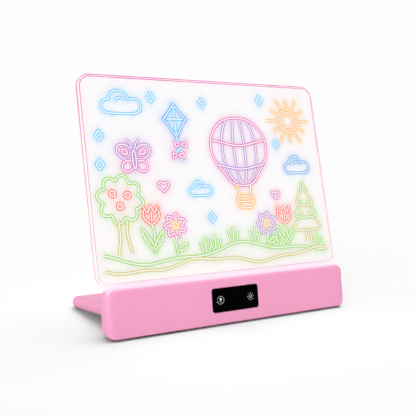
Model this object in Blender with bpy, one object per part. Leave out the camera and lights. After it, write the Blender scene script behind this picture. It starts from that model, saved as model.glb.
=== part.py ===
"""LED drawing pad: a clear edge-lit panel in a leaning base bar with a fold-out rear foot.

The bar's front leans back by FRONT_LEAN and its rear is upright. The bar's axes are x along
it, depth from the front face backwards, and rise up the front face. The panel leans back by
PANEL_LEAN, and it and its lamps have such axes of their own, from the front edge of the slot.
The foot is drawn on its hinge: x along the pin, reach towards the tip, and z through the
thickness.
"""
import math

import bmesh
import bpy
from mathutils import Matrix, Vector

# Fits, walls and cuts shared by all pieces
GAP = 0.0003
OVERRUN = 0.001
WALL = 0.0022
FRONT_LEAN = math.radians(7.4)
PANEL_LEAN = math.radians(13.7)
SMOOTH_ANGLE = math.radians(35)
ROUND_SIDES = 20
CORNER_STEPS = 6
EDGE_STEPS = 4

# Drawing panel
PANEL_WIDTH = 0.300
PANEL_HEIGHT = 0.2166
PANEL_THICKNESS = 0.004
PANEL_CORNER_RADIUS = 0.0125
PANEL_RIM_WIDTH = 0.0020
PANEL_RIM_DEPTH = 0.0008
TONGUE_DEPTH = 0.014
TONGUE_CORNER_RADIUS = 0.003

# Base bar; the panel's distance to the upright rear face is taken along the bar's top
BASE_END_INSET = 0.0029
BASE_HEIGHT = 0.0511
BASE_DEPTH = 0.0292
SPLIT_DEPTH = 0.0125
PANEL_TO_REAR_FACE = 0.0071085134
BASE_CORNER_RADIUS = 0.0092
BASE_EDGE_RADIUS = 0.0059
BASE_REAR_EDGE_RADIUS = 0.0045
BASE_REAR_END_RADIUS = 0.013
BASE_BOTTOM_EDGE_RADIUS = 0.0025
EDGE_TO_CORNER_SHARE = 0.85
REAR_SECTION_SHARES = (0.0, 0.35, 0.7)

# Rubber pads under the bar and the foot
GROUND_CLEARANCE = 0.0008
PAD_THICKNESS = 0.0018
BASE_PAD_LENGTH = 0.050
BASE_PAD_WIDTH = 0.006
BASE_PAD_END_INSET = 0.030
BASE_PAD_SETBACK = 0.005
FOOT_PAD_LENGTH = 0.030
FOOT_PAD_WIDTH = 0.005
FOOT_PAD_END_INSET = 0.022

# Touch window and what is behind it
TOUCH_LENS_WIDTH = 0.057
TOUCH_LENS_HEIGHT = 0.0249
TOUCH_LENS_OFFSET = 0.0029
TOUCH_LENS_RISE_SHARE = 0.528
TOUCH_LENS_THICKNESS = 0.0012
TOUCH_LENS_CORNER_RADIUS = 0.0022
TOUCH_LENS_CHAMFER = 0.0004
TOUCH_KEY_SPACING = 0.0374
TOUCH_SPRING_RADIUS = 0.0022
TOUCH_SPRING_WIRE_RADIUS = 0.0003
TOUCH_SPRING_HOLE_CLEARANCE = 0.0008
TOUCH_SPRING_TURNS = 4
TOUCH_BOARD_SETBACK = 0.008
TOUCH_BOARD_MARGIN = 0.0010

# Circuit boards, their screws and the charging socket
BOARD_THICKNESS = 0.0012
BOARD_SCREW_SHANK_RADIUS = 0.0009
BOARD_SCREW_HEAD_RADIUS = 0.0019
BOARD_SCREW_HEAD_HEIGHT = 0.0012
BOARD_SCREW_LENGTH = 0.0055
BOARD_BOSS_RADIUS = 0.0026
BOARD_SCREW_MARGIN = 0.0034
CONTROL_BOARD_SETBACK = 0.007
CONTROL_BOARD_LENGTH = 0.081
CONTROL_BOARD_HEIGHT = 0.0146
CONTROL_BOARD_CLEARANCE = 0.0006
CHIP_THICKNESS = 0.0011
CHIP_SIZE = 0.006
SOCKET_WIDTH = 0.0090
SOCKET_THICKNESS = 0.0033
SOCKET_LENGTH = 0.0076
SOCKET_SHEET = 0.00035
SOCKET_DEPTH = 0.0062
SOCKET_TONGUE_WIDTH = 0.0060
SOCKET_TONGUE_THICKNESS = 0.0007

# Battery
BATTERY_RADIUS = 0.0071
BATTERY_LENGTH = 0.0500
BATTERY_CAP_RADIUS = 0.0026
BATTERY_CAP_HEIGHT = 0.0010
BATTERY_EDGE_RADIUS = 0.0006
BATTERY_HOLDER_WALL = 0.0012
BATTERY_HOLDER_CLEARANCE = 0.0016
LEAD_RADIUS = 0.0006
LEAD_SPACING = 0.0024
LEAD_BOW = 0.0042
LEAD_RISE = 0.0024
LEAD_POINTS = 24

# Light under the panel's edge
LED_COUNT = 12
LED_LENGTH = 0.0035
LED_WIDTH = 0.0028
LED_HEIGHT = 0.0014
LED_TO_PANEL = 0.0022
LED_STRIP_WIDTH = 0.0036
LED_STRIP_THICKNESS = 0.0008
CHANNEL_WALL = 0.0010
CHANNEL_END = 0.0005
CHANNEL_TOP_CLEARANCE = 0.0012

# Shape of every screw, as shares of its head and shank
SCREW_RECESS_SHARE = 0.55
SCREW_RIM_SHARE = 0.55
SCREW_CROWN_SHARE = 0.8
SCREW_TIP_SHARE = 0.3

# Screws that close the bar and the foot
BOSS_RADIUS = 0.0032
SCREW_SHANK_RADIUS = 0.0013
SCREW_HEAD_RADIUS = 0.0028
SCREW_HEAD_HEIGHT = 0.0018
SCREW_LENGTH = 0.0118
SCREW_TIP_CLEARANCE = 0.0010
SLEEVE_FLOOR = 0.0030
SLEEVE_WALL = 0.0013
SLEEVE_END_SHARE = 0.7
END_BOSS_INSET = 0.012
SLEEVE_TO_CHANNEL = 0.0006
UPPER_SCREW_DROP = 0.012
LOWER_SCREW_RISE = 0.006
MIDDLE_SCREW_SPACING = 0.090

# Hinge between the bar and the foot
HINGE_HEIGHT = 0.0204
HINGE_CLEARANCE = 0.0010
LUG_END_INSET = 0.045
LUG_WIDTH = 0.014
LUG_SIDE_CLEARANCE = 0.0006
LUG_UNDERSIZE = 0.0004
PIN_RADIUS = 0.002
PIN_ENGAGEMENT = 0.008
PIN_EDGE = 0.0004
BUSH_WALL = 0.0017

# Foot
FOOT_END_INSET = 0.0188
FOOT_LENGTH = 0.1169
FOOT_ROOT_RADIUS = 0.0082
FOOT_TIP_RADIUS = 0.0063
FOOT_SIDE_RADIUS = 0.006
FOOT_CORNER_RADIUS = 0.0123
FOOT_WALL = 0.0022
FOOT_ROOT_SOLID = 0.012
FOOT_KNUCKLE_WIDTH = 0.011
FOOT_DISH_DEPTH = 0.0010
FOOT_DISH_MARGIN = 0.010
FOOT_DISH_CORNER_RADIUS = 0.008
FOOT_DISH_SLOPE = 0.0012
FOOT_CORNER_STEP_SHARES = (0.25, 0.6, 1.0)
FOOT_SCREW_END_INSET = 0.025
FOOT_SCREW_MARGIN = 0.028
FOOT_SCREW_LENGTH = 0.0075
FOOT_POCKET_DEPTH = 0.0026

# The bar, worked out from the sizes above
base_half = PANEL_WIDTH / 2 - BASE_END_INSET
front_edge_radius = min(BASE_EDGE_RADIUS, BASE_CORNER_RADIUS * EDGE_TO_CORNER_SHARE)
bottom_edge_share = BASE_BOTTOM_EDGE_RADIUS / BASE_EDGE_RADIUS
sleeve_radius = SCREW_HEAD_RADIUS + GAP + SLEEVE_WALL
screw_seat = SPLIT_DEPTH + GAP + SLEEVE_FLOOR
end_boss_x = base_half - END_BOSS_INSET
lens_x = -TOUCH_LENS_OFFSET
lens_rise = BASE_HEIGHT * TOUCH_LENS_RISE_SHARE

# The panel and its light, on the slot's axes
slot_turn = PANEL_LEAN - FRONT_LEAN
channel_half = end_boss_x - sleeve_radius - SLEEVE_TO_CHANNEL
tongue_half = channel_half - CHANNEL_END
panel_rise = GAP + PANEL_THICKNESS * math.sin(slot_turn)
tongue_rise = panel_rise - TONGUE_DEPTH
led_rise = tongue_rise - LED_TO_PANEL - LED_HEIGHT
strip_rise = led_rise - GAP - LED_STRIP_THICKNESS
channel_floor_rise = strip_rise - GAP

# The hinge axis and the foot, worked out from the sizes above
hinge_back = BASE_DEPTH + HINGE_CLEARANCE + FOOT_ROOT_RADIUS
tip_height = GROUND_CLEARANCE + FOOT_TIP_RADIUS
foot_slope = math.asin((HINGE_HEIGHT - tip_height) / FOOT_LENGTH)
tip_back = hinge_back + FOOT_LENGTH * math.cos(foot_slope)
foot_half = PANEL_WIDTH / 2 - FOOT_END_INSET
lug_x = foot_half - LUG_END_INSET
bottom_edge_rise = GROUND_CLEARANCE / math.cos(FRONT_LEAN) + front_edge_radius * bottom_edge_share
front_y = -(tip_back + FOOT_TIP_RADIUS + bottom_edge_rise * math.sin(FRONT_LEAN)) / 2
bush_radius = PIN_RADIUS + GAP + BUSH_WALL


def rear_depth(rise, wall=0.0):
    """Depth of the upright rear face, or of a plane a wall in front of it, at a rise."""
    return (BASE_DEPTH - wall - rise * math.sin(FRONT_LEAN)) / math.cos(FRONT_LEAN)


def floor_rise(depth, above=0.0, share=0.0):
    """Rise of a level line, this far above the underside, where a section of the bar meets it.

    The section lies at the depth, or at a share of the way from there to the rear face.
    """
    sine = math.sin(FRONT_LEAN)
    cosine = math.cos(FRONT_LEAN)
    middle = depth * (1 - share) + share * (BASE_DEPTH - above) / cosine
    return (GROUND_CLEARANCE + above + middle * sine) / (cosine + share * sine ** 2 / cosine)


def rounding(radius, distance):
    """Inset of a quarter round at a distance from the face that it runs into."""
    lift = min(max(radius - distance, 0), radius)
    return radius - math.sqrt(radius ** 2 - lift ** 2)


panel_setback = rear_depth(BASE_HEIGHT) - PANEL_TO_REAR_FACE
lower_boss_rise = floor_rise(0, share=1.0) + LOWER_SCREW_RISE
control_board_right = base_half - WALL - CONTROL_BOARD_CLEARANCE
control_board_left = control_board_right - CONTROL_BOARD_LENGTH
control_board_bottom = lower_boss_rise + BOSS_RADIUS + CONTROL_BOARD_CLEARANCE
control_board_rise = control_board_bottom + CONTROL_BOARD_HEIGHT / 2
control_board_top = control_board_bottom + CONTROL_BOARD_HEIGHT
upper_boss_rise = max(BASE_HEIGHT - UPPER_SCREW_DROP,
                      control_board_top + CONTROL_BOARD_CLEARANCE + BOSS_RADIUS)


def clear_scene():
    for item in list(bpy.data.objects):
        bpy.data.objects.remove(item, do_unlink=True)


def make_material(name, colour, roughness, metallic=0.0, transmission=0.0):
    material = bpy.data.materials.new(name)
    material.use_nodes = True
    shader = material.node_tree.nodes["Principled BSDF"]
    shader.inputs["Base Color"].default_value = (*colour, 1.0)
    shader.inputs["Roughness"].default_value = roughness
    shader.inputs["Metallic"].default_value = metallic
    shader.inputs["Transmission Weight"].default_value = transmission
    material.diffuse_color = (*colour, 1.0)
    return material


def make_frame(name, location, turn, parent=None):
    """Empty that carries the pieces drawn on its axes, turned about x."""
    frame = bpy.data.objects.new(name, None)
    frame.location = location
    frame.rotation_euler = (turn, 0, 0)
    frame.parent = parent
    bpy.context.scene.collection.objects.link(frame)
    return frame


def place(name, bm, parent):
    bmesh.ops.recalc_face_normals(bm, faces=bm.faces)
    mesh = bpy.data.meshes.new(name)
    bm.to_mesh(mesh)
    bm.free()
    mesh.shade_smooth()
    mesh.set_sharp_from_angle(angle=SMOOTH_ANGLE)
    item = bpy.data.objects.new(name, mesh)
    item.parent = parent
    bpy.context.scene.collection.objects.link(item)
    return item


def solid(name, bm, material, parent):
    """One named piece with its own material."""
    item = place(name, bm, parent)
    item.data.materials.append(material)
    return item


def tool(name, bm, parent):
    """A guide that cuts or adds to a piece and isn't a piece itself."""
    item = place(name, bm, parent)
    item.hide_render = True
    item.display_type = "WIRE"
    return item


def combine(item, guide, operation):
    step = item.modifiers.new(guide.name, "BOOLEAN")
    step.operation = operation
    step.object = guide


def loft(bm, loops, closed=False):
    """Skin loops that have equal counts of points, with flat ends or joined end to end."""
    rings = [[bm.verts.new(point) for point in loop] for loop in loops]
    pairs = list(zip(rings, rings[1:]))
    if closed:
        pairs.append((rings[-1], rings[0]))
    for ring, following in pairs:
        for i, vertex in enumerate(ring):
            j = (i + 1) % len(ring)
            bm.faces.new((vertex, ring[j], following[j], following[i]))
    if not closed:
        bm.faces.new(rings[0])
        bm.faces.new(rings[-1])
    return bm


def add_box(bm, low, high):
    corners = [(low[0], low[1]), (high[0], low[1]), (high[0], high[1]), (low[0], high[1])]
    return loft(bm, [[(x, y, z) for x, y in corners] for z in (low[2], high[2])])


def along(start, end):
    """Matrix whose z axis runs from start to end, and the distance between them."""
    start = Vector(start)
    direction = Vector(end) - start
    turn = direction.to_track_quat("Z", "Y").to_matrix().to_4x4()
    return Matrix.Translation(start) @ turn, direction.length


def circle(matrix, radius, height, sides=ROUND_SIDES):
    angles = [math.tau * i / sides for i in range(sides)]
    return [matrix @ Vector((radius * math.cos(a), radius * math.sin(a), height)) for a in angles]


def add_turned(bm, start, end, profile, sides=ROUND_SIDES):
    """Skin circles of the profile's (radius, distance from start) pairs along a line."""
    matrix, _ = along(start, end)
    return loft(bm, [circle(matrix, radius, height, sides) for radius, height in profile])


def add_cylinder(bm, start, end, radius, sides=ROUND_SIDES):
    length = (Vector(end) - Vector(start)).length
    return add_turned(bm, start, end, [(radius, 0), (radius, length)], sides)


def add_stepped_hole(bm, start, end, seat, shank_radius, head_radius):
    """Screw hole that widens from the shank to the head at a distance along its line."""
    length = (Vector(end) - Vector(start)).length
    profile = [(shank_radius, 0), (shank_radius, seat), (head_radius, seat), (head_radius, length)]
    return add_turned(bm, start, end, profile)


def rounded_outline(left, right, bottom, top, radius, steps=CORNER_STEPS):
    """Rectangle with round corners, counter-clockwise from the lower right corner."""
    centres = [
        (right - radius, bottom + radius, -90),
        (right - radius, top - radius, 0),
        (left + radius, top - radius, 90),
        (left + radius, bottom + radius, 180),
    ]
    points = []
    for a, b, start in centres:
        for i in range(steps + 1):
            angle = math.radians(start + 90 * i / steps)
            points.append((a + radius * math.cos(angle), b + radius * math.sin(angle)))
    return points


def fillet_steps(radius):
    """(advance, inset) pairs of a quarter round that starts square to the advance."""
    angles = [math.pi / 2 * i / EDGE_STEPS for i in range(EDGE_STEPS + 1)]
    return [(radius * (1 - math.cos(a)), radius * (1 - math.sin(a))) for a in angles]


def bar_loop(depth, inset=0.0, wall=0.0, share=0.0):
    """Section of the bar at a depth, or at a share of the way from there to the rear face.

    Its corners are round and its underside is level. Near the rear face, the ends draw in as
    the plan rounds off and the top and the underside as their rear edges do.
    """
    half = base_half - wall - inset
    bottom = floor_rise(depth, wall, share) + inset * bottom_edge_share
    top = BASE_HEIGHT - wall - inset
    radius = BASE_CORNER_RADIUS - wall - inset
    middle = (bottom + top) / 2
    points = []
    for x, rise in rounded_outline(-half, half, bottom, top, radius):
        ahead = (1 - share) * (rear_depth(rise, wall) - depth)
        draw_in = rounding(BASE_REAR_END_RADIUS - wall, ahead)
        sink = rounding(BASE_REAR_EDGE_RADIUS - wall, ahead)
        rise = middle + (rise - middle) * (1 - sink / (top - middle))
        here = depth + share * (rear_depth(rise, wall) - depth)
        points.append((x * (1 - draw_in / half), here, rise))
    return points


def rear_sections():
    """Shares of the way from the parting plane to the rear face, closest near the rear edge."""
    reach = rear_depth(BASE_HEIGHT) - SPLIT_DEPTH
    edge = [1 - advance / reach for advance, _ in fillet_steps(BASE_REAR_EDGE_RADIUS)]
    return [share * edge[-1] for share in REAR_SECTION_SHARES] + edge[::-1]


def mirrored_sides():
    return (("left", -1), ("right", 1))


def make_screw(name, head, end, parent, material, head_radius, head_height, shank_radius, length):
    """Pan-head screw whose head's underside is at a point, with a cross recess."""
    matrix, _ = along(head, end)
    arm = head_radius * SCREW_RECESS_SHARE
    recess = head_height * SCREW_RECESS_SHARE
    first_angle = math.pi / 12
    sides = 12

    def ring(radius, height):
        turns = [first_angle + math.tau * i / sides for i in range(sides)]
        return [matrix @ Vector((radius * math.cos(a), radius * math.sin(a), height)) for a in turns]

    def cross(height):
        waist = arm * math.tan(first_angle)
        points = []
        for quarter in range(4):
            turn = Matrix.Rotation(math.radians(90 * quarter), 3, "Z")
            for x, y in ((arm, waist), (waist, waist), (waist, arm)):
                points.append(matrix @ (turn @ Vector((x, y, height))))
        return points

    loops = [
        cross(recess - head_height),
        cross(-head_height),
        ring(head_radius * SCREW_CROWN_SHARE, -head_height),
        ring(head_radius, -head_height * SCREW_RIM_SHARE),
        ring(head_radius, 0),
        ring(shank_radius, 0),
        ring(shank_radius, length - shank_radius),
        ring(shank_radius * SCREW_TIP_SHARE, length),
    ]
    return solid(name, loft(bmesh.new(), loops), material, parent)


def make_drawing_panel(slot, acrylic):
    """Clear sheet with bevelled rims and a narrower tongue that drops into the slot."""
    half = PANEL_WIDTH / 2
    top = panel_rise + PANEL_HEIGHT

    def outline(inset):
        body = rounded_outline(-half + inset, half - inset, panel_rise + inset, top - inset,
                               PANEL_CORNER_RADIUS - inset)
        tongue = rounded_outline(-tongue_half + inset, tongue_half - inset,
                                 tongue_rise + inset, panel_rise,
                                 TONGUE_CORNER_RADIUS)
        corner = CORNER_STEPS + 1
        left_root = (-tongue_half + inset, panel_rise + inset)
        right_root = (tongue_half - inset, panel_rise + inset)
        return body + [left_root] + tongue[3 * corner:] + tongue[:corner] + [right_root]

    stations = [
        (0.0, PANEL_RIM_WIDTH),
        (PANEL_RIM_DEPTH, 0.0),
        (PANEL_THICKNESS - PANEL_RIM_DEPTH, 0.0),
        (PANEL_THICKNESS, PANEL_RIM_WIDTH),
    ]
    loops = [[(x, depth, rise) for x, rise in outline(inset)] for depth, inset in stations]
    return solid("drawing_panel", loft(bmesh.new(), loops), acrylic, slot)


def front_shell_body():
    """Front tub: the front face with its round edges, and the ends, top and underside."""
    loops = [bar_loop(advance, inset) for advance, inset in fillet_steps(front_edge_radius)]
    loops.append(bar_loop(SPLIT_DEPTH))
    loops.append(bar_loop(SPLIT_DEPTH, wall=WALL))
    inner = [(WALL + advance, inset) for advance, inset in fillet_steps(front_edge_radius - WALL)]
    loops += [bar_loop(depth, inset, WALL) for depth, inset in reversed(inner)]
    return loft(bmesh.new(), loops)


def housing_screw_places():
    return {
        "upper_left": (-end_boss_x, upper_boss_rise),
        "upper_right": (end_boss_x, upper_boss_rise),
        "lower_left": (-end_boss_x, lower_boss_rise),
        "lower_right": (end_boss_x, lower_boss_rise),
        "middle_left": (-MIDDLE_SCREW_SPACING / 2, lower_boss_rise),
        "middle_right": (MIDDLE_SCREW_SPACING / 2, lower_boss_rise),
    }


def touch_board_screw_places():
    offset = TOUCH_LENS_HEIGHT / 2 - TOUCH_BOARD_MARGIN - BOARD_SCREW_MARGIN
    return {"upper": (lens_x, lens_rise + offset), "lower": (lens_x, lens_rise - offset)}


def control_board_screw_places():
    return {
        "left": (control_board_left + BOARD_SCREW_MARGIN, control_board_rise),
        "right": (control_board_right - SOCKET_LENGTH - BOARD_SCREW_MARGIN, control_board_rise),
    }


def front_shell_bosses():
    bm = bmesh.new()
    root = WALL / 2
    for x, rise in housing_screw_places().values():
        add_cylinder(bm, (x, root, rise), (x, SPLIT_DEPTH, rise), BOSS_RADIUS)
    boards = (
        (touch_board_screw_places(), TOUCH_BOARD_SETBACK),
        (control_board_screw_places(), CONTROL_BOARD_SETBACK),
    )
    for places, board_depth in boards:
        for x, rise in places.values():
            add_cylinder(bm, (x, root, rise), (x, board_depth - GAP, rise), BOARD_BOSS_RADIUS)
    return bm


def front_shell_cuts():
    bm = bmesh.new()
    pilot = SCREW_SHANK_RADIUS + GAP
    hole_end = screw_seat + GAP - SCREW_LENGTH - SCREW_TIP_CLEARANCE
    for x, rise in housing_screw_places().values():
        add_cylinder(bm, (x, hole_end, rise), (x, SPLIT_DEPTH + OVERRUN, rise), pilot)
    pilot = BOARD_SCREW_SHANK_RADIUS + GAP
    boards = (
        (touch_board_screw_places(), TOUCH_BOARD_SETBACK),
        (control_board_screw_places(), CONTROL_BOARD_SETBACK),
    )
    for places, board_depth in boards:
        tip = board_depth + BOARD_THICKNESS - BOARD_SCREW_LENGTH - GAP
        for x, rise in places.values():
            add_cylinder(bm, (x, tip, rise), (x, board_depth + OVERRUN, rise), pilot)
    socket = socket_outline(GAP)
    stations = (base_half - WALL - OVERRUN, base_half + OVERRUN)
    loft(bm, [[(x, depth, rise) for depth, rise in socket] for x in stations])
    return bm


def lens_outline(grow):
    half = TOUCH_LENS_WIDTH / 2 + grow
    half_height = TOUCH_LENS_HEIGHT / 2 + grow
    return rounded_outline(lens_x - half, lens_x + half, lens_rise - half_height,
                           lens_rise + half_height, TOUCH_LENS_CORNER_RADIUS + grow)


def lens_recess():
    """Chamfered seat for the touch window, with a hole behind each touch spring."""
    stations = (
        (-OVERRUN, GAP + TOUCH_LENS_CHAMFER + OVERRUN),
        (TOUCH_LENS_CHAMFER, GAP),
        (TOUCH_LENS_THICKNESS + GAP, GAP),
    )
    loops = []
    for depth, grow in stations:
        loops.append([(x, depth, rise) for x, rise in lens_outline(grow)])
    return loft(bmesh.new(), loops)


def spring_holes():
    bm = bmesh.new()
    radius = TOUCH_SPRING_RADIUS + TOUCH_SPRING_WIRE_RADIUS + TOUCH_SPRING_HOLE_CLEARANCE
    for _, side in mirrored_sides():
        x = lens_x + side * TOUCH_KEY_SPACING / 2
        start = (x, TOUCH_LENS_THICKNESS - GAP, lens_rise)
        add_cylinder(bm, start, (x, WALL + OVERRUN, lens_rise), radius)
    return bm


def base_pad_box(bm, side, grow=0.0):
    """Pad under the bar, level with the floor and behind its front edge."""
    outer = base_half - BASE_PAD_END_INSET
    inner = outer - BASE_PAD_LENGTH
    left, right = sorted((side * outer, side * inner))
    outline = rounded_outline(left - grow, right + grow, BASE_PAD_SETBACK - grow,
                              BASE_PAD_SETBACK + BASE_PAD_WIDTH + grow,
                              BASE_PAD_WIDTH / 4 + grow)
    top = PAD_THICKNESS + grow
    bottom = -grow
    return loft(bm, [[(x, y, z) for x, y in outline] for z in (bottom, top)])


def base_pad_recesses():
    bm = bmesh.new()
    for _, side in mirrored_sides():
        base_pad_box(bm, side, GAP)
    return bm


def make_front_shell(bar, ground, plastic):
    shell = solid("front_shell", front_shell_body(), plastic, bar)
    combine(shell, tool("bosses_guide", front_shell_bosses(), bar), "UNION")
    combine(shell, tool("lens_recess_guide", lens_recess(), bar), "DIFFERENCE")
    combine(shell, tool("spring_holes_guide", spring_holes(), bar), "DIFFERENCE")
    combine(shell, tool("shell_cuts_guide", front_shell_cuts(), bar), "DIFFERENCE")
    combine(shell, tool("pad_recess_guide", base_pad_recesses(), ground), "DIFFERENCE")
    return shell


def rear_shell_body():
    """Rear tub: the upright rear face, and the ends, top and underside up to the front tub."""
    front = SPLIT_DEPTH + GAP
    shares = rear_sections()
    loops = [bar_loop(front, share=share) for share in reversed(shares)]
    loops += [bar_loop(front, wall=WALL, share=share) for share in shares]
    return loft(bmesh.new(), loops)


def panel_slot():
    """Slot in the bar's top that the panel's tongue drops through."""
    low = (-tongue_half - GAP, -GAP, -WALL - OVERRUN)
    high = (tongue_half + GAP, PANEL_THICKNESS + GAP, OVERRUN)
    return add_box(bmesh.new(), low, high)


def make_rear_shell(bar, slot, ground, plastic):
    """Rear tub with the panel's slot, deep sleeves for the screws and two hinge lugs."""
    shell = solid("rear_shell", rear_shell_body(), plastic, bar)
    front = SPLIT_DEPTH + GAP
    additions = bmesh.new()
    cuts = bmesh.new()
    for x, rise in housing_screw_places().values():
        rear = rear_depth(rise)
        end = (x, rear - WALL * SLEEVE_END_SHARE, rise)
        add_cylinder(additions, (x, front, rise), end, sleeve_radius)
        start = front - OVERRUN
        add_stepped_hole(cuts, (x, start, rise), (x, rear + OVERRUN, rise), screw_seat - start,
                         SCREW_SHANK_RADIUS + GAP, SCREW_HEAD_RADIUS + GAP)
    combine(shell, tool("sleeves_guide", additions, bar), "UNION")
    combine(shell, tool("screw_holes_guide", cuts, bar), "DIFFERENCE")
    combine(shell, tool("panel_slot_guide", panel_slot(), slot), "DIFFERENCE")

    radius = FOOT_ROOT_RADIUS - LUG_UNDERSIZE
    lugs = bmesh.new()
    bores = bmesh.new()
    for _, side in mirrored_sides():
        left = side * lug_x - LUG_WIDTH / 2
        right = left + LUG_WIDTH
        loft(lugs, [lug_outline(x, radius) for x in (left, right)])
        start = (left - OVERRUN, hinge_back, HINGE_HEIGHT)
        end = (right + OVERRUN, hinge_back, HINGE_HEIGHT)
        add_cylinder(bores, start, end, bush_radius + GAP)
    combine(shell, tool("lugs_guide", lugs, ground), "UNION")
    combine(shell, tool("lug_bores_guide", bores, ground), "DIFFERENCE")
    return shell


def lug_outline(x, radius):
    """Round nose about the hinge axis with a straight neck into the rear wall."""
    root = BASE_DEPTH - WALL / 2
    sides = ROUND_SIDES // 2
    points = [(x, root, HINGE_HEIGHT - radius)]
    for i in range(sides + 1):
        angle = math.radians(-90 + 180 * i / sides)
        back = hinge_back + radius * math.cos(angle)
        points.append((x, back, HINGE_HEIGHT + radius * math.sin(angle)))
    points.append((x, root, HINGE_HEIGHT + radius))
    return points


def make_touch_lens(bar, gloss_black):
    stations = (
        (0.0, -TOUCH_LENS_CHAMFER / 2),
        (TOUCH_LENS_CHAMFER / 2, 0.0),
        (TOUCH_LENS_THICKNESS, 0.0),
    )
    loops = []
    for depth, grow in stations:
        loops.append([(x, depth, rise) for x, rise in lens_outline(grow)])
    return solid("touch_lens", loft(bmesh.new(), loops), gloss_black, bar)


def make_board(name, left, right, bottom, top, depth, holes, chips, bar, fibreglass):
    """Circuit board with its screw holes and the chips soldered to its back."""
    board = solid(name, add_box(bmesh.new(), (left, depth, bottom),
                                (right, depth + BOARD_THICKNESS, top)), fibreglass, bar)
    if chips:
        parts = bmesh.new()
        face = depth + BOARD_THICKNESS
        for x, rise in chips:
            low = (x - CHIP_SIZE / 2, face - BOARD_THICKNESS / 2, rise - CHIP_SIZE / 2)
            high = (x + CHIP_SIZE / 2, face + CHIP_THICKNESS, rise + CHIP_SIZE / 2)
            add_box(parts, low, high)
        combine(board, tool(name + "_chips_guide", parts, bar), "UNION")
    drills = bmesh.new()
    for x, rise in holes:
        start = (x, depth - OVERRUN, rise)
        end = (x, depth + BOARD_THICKNESS + OVERRUN, rise)
        add_cylinder(drills, start, end, BOARD_SCREW_SHANK_RADIUS + GAP)
    combine(board, tool(name + "_holes_guide", drills, bar), "DIFFERENCE")
    return board


def make_board_screws(prefix, places, board_depth, bar, steel):
    seat = board_depth + BOARD_THICKNESS + GAP
    for name, (x, rise) in places.items():
        make_screw(prefix + name, (x, seat, rise), (x, 0, rise), bar, steel,
                   BOARD_SCREW_HEAD_RADIUS, BOARD_SCREW_HEAD_HEIGHT,
                   BOARD_SCREW_SHANK_RADIUS, BOARD_SCREW_LENGTH)


def make_touch_unit(bar, fibreglass, steel):
    half = TOUCH_LENS_WIDTH / 2 - TOUCH_BOARD_MARGIN
    half_height = TOUCH_LENS_HEIGHT / 2 - TOUCH_BOARD_MARGIN
    places = touch_board_screw_places()
    chips = [(lens_x + side * TOUCH_KEY_SPACING / 4, lens_rise) for _, side in mirrored_sides()]
    make_board("touch_board", lens_x - half, lens_x + half, lens_rise - half_height,
               lens_rise + half_height, TOUCH_BOARD_SETBACK, places.values(), chips, bar,
               fibreglass)
    make_board_screws("touch_board_screw_", places, TOUCH_BOARD_SETBACK, bar, steel)
    for name, side in mirrored_sides():
        x = lens_x + side * TOUCH_KEY_SPACING / 2
        make_touch_spring("touch_spring_" + name, x, bar, steel)


def make_touch_spring(name, x, bar, steel):
    """Small coil that reaches from the touch board to the back of the window."""
    start = TOUCH_LENS_THICKNESS + GAP + TOUCH_SPRING_WIRE_RADIUS
    end = TOUCH_BOARD_SETBACK - GAP - TOUCH_SPRING_WIRE_RADIUS
    steps = 10 * TOUCH_SPRING_TURNS
    curve = bpy.data.curves.new(name, "CURVE")
    curve.dimensions = "3D"
    curve.bevel_depth = TOUCH_SPRING_WIRE_RADIUS
    curve.bevel_resolution = 1
    curve.use_fill_caps = True
    spline = curve.splines.new("POLY")
    spline.points.add(steps)
    for i, point in enumerate(spline.points):
        angle = math.tau * TOUCH_SPRING_TURNS * i / steps
        depth = start + (end - start) * i / steps
        across = TOUCH_SPRING_RADIUS * math.cos(angle)
        up = TOUCH_SPRING_RADIUS * math.sin(angle)
        point.co = (x + across, depth, lens_rise + up, 1)
    curve.materials.append(steel)
    item = bpy.data.objects.new(name, curve)
    item.parent = bar
    bpy.context.scene.collection.objects.link(item)
    return item


def make_control_unit(bar, fibreglass, steel):
    places = control_board_screw_places()
    first = control_board_left + CONTROL_BOARD_LENGTH / 4
    chips = [(first, control_board_rise), (first + CONTROL_BOARD_LENGTH / 4, control_board_rise)]
    make_board("control_board", control_board_left, control_board_right, control_board_bottom,
               control_board_top, CONTROL_BOARD_SETBACK,
               places.values(), chips, bar, fibreglass)
    make_board_screws("control_board_screw_", places, CONTROL_BOARD_SETBACK, bar, steel)
    make_usb_c_socket(bar, steel)


def socket_outline(grow):
    """Stadium section of the charging socket, as (depth, rise) points."""
    low = CONTROL_BOARD_SETBACK + BOARD_THICKNESS + GAP
    half = SOCKET_WIDTH / 2
    radius = SOCKET_THICKNESS / 2 + grow
    return rounded_outline(low - grow, low + SOCKET_THICKNESS + grow,
                           control_board_rise - half - grow, control_board_rise + half + grow,
                           radius, CORNER_STEPS // 2)


def make_usb_c_socket(bar, steel):
    """Pressed steel shell, open at the bar's end, with its contact tongue."""
    mouth = base_half - GAP
    stations = (
        (mouth - SOCKET_LENGTH, 0.0),
        (mouth, 0.0),
        (mouth, -SOCKET_SHEET),
        (mouth - SOCKET_DEPTH, -SOCKET_SHEET),
    )
    loops = []
    for x, grow in stations:
        loops.append([(x, depth, rise) for depth, rise in socket_outline(grow)])
    socket = solid("usb_c_socket", loft(bmesh.new(), loops), steel, bar)
    middle = CONTROL_BOARD_SETBACK + BOARD_THICKNESS + GAP + SOCKET_THICKNESS / 2
    half = SOCKET_TONGUE_THICKNESS / 2
    low = (mouth - SOCKET_DEPTH - SOCKET_SHEET, middle - half,
           control_board_rise - SOCKET_TONGUE_WIDTH / 2)
    high = (mouth - SOCKET_DEPTH / 4, middle + half,
            control_board_rise + SOCKET_TONGUE_WIDTH / 2)
    tongue = tool("socket_tongue_guide", add_box(bmesh.new(), low, high), bar)
    combine(socket, tongue, "UNION")
    return socket


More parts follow.
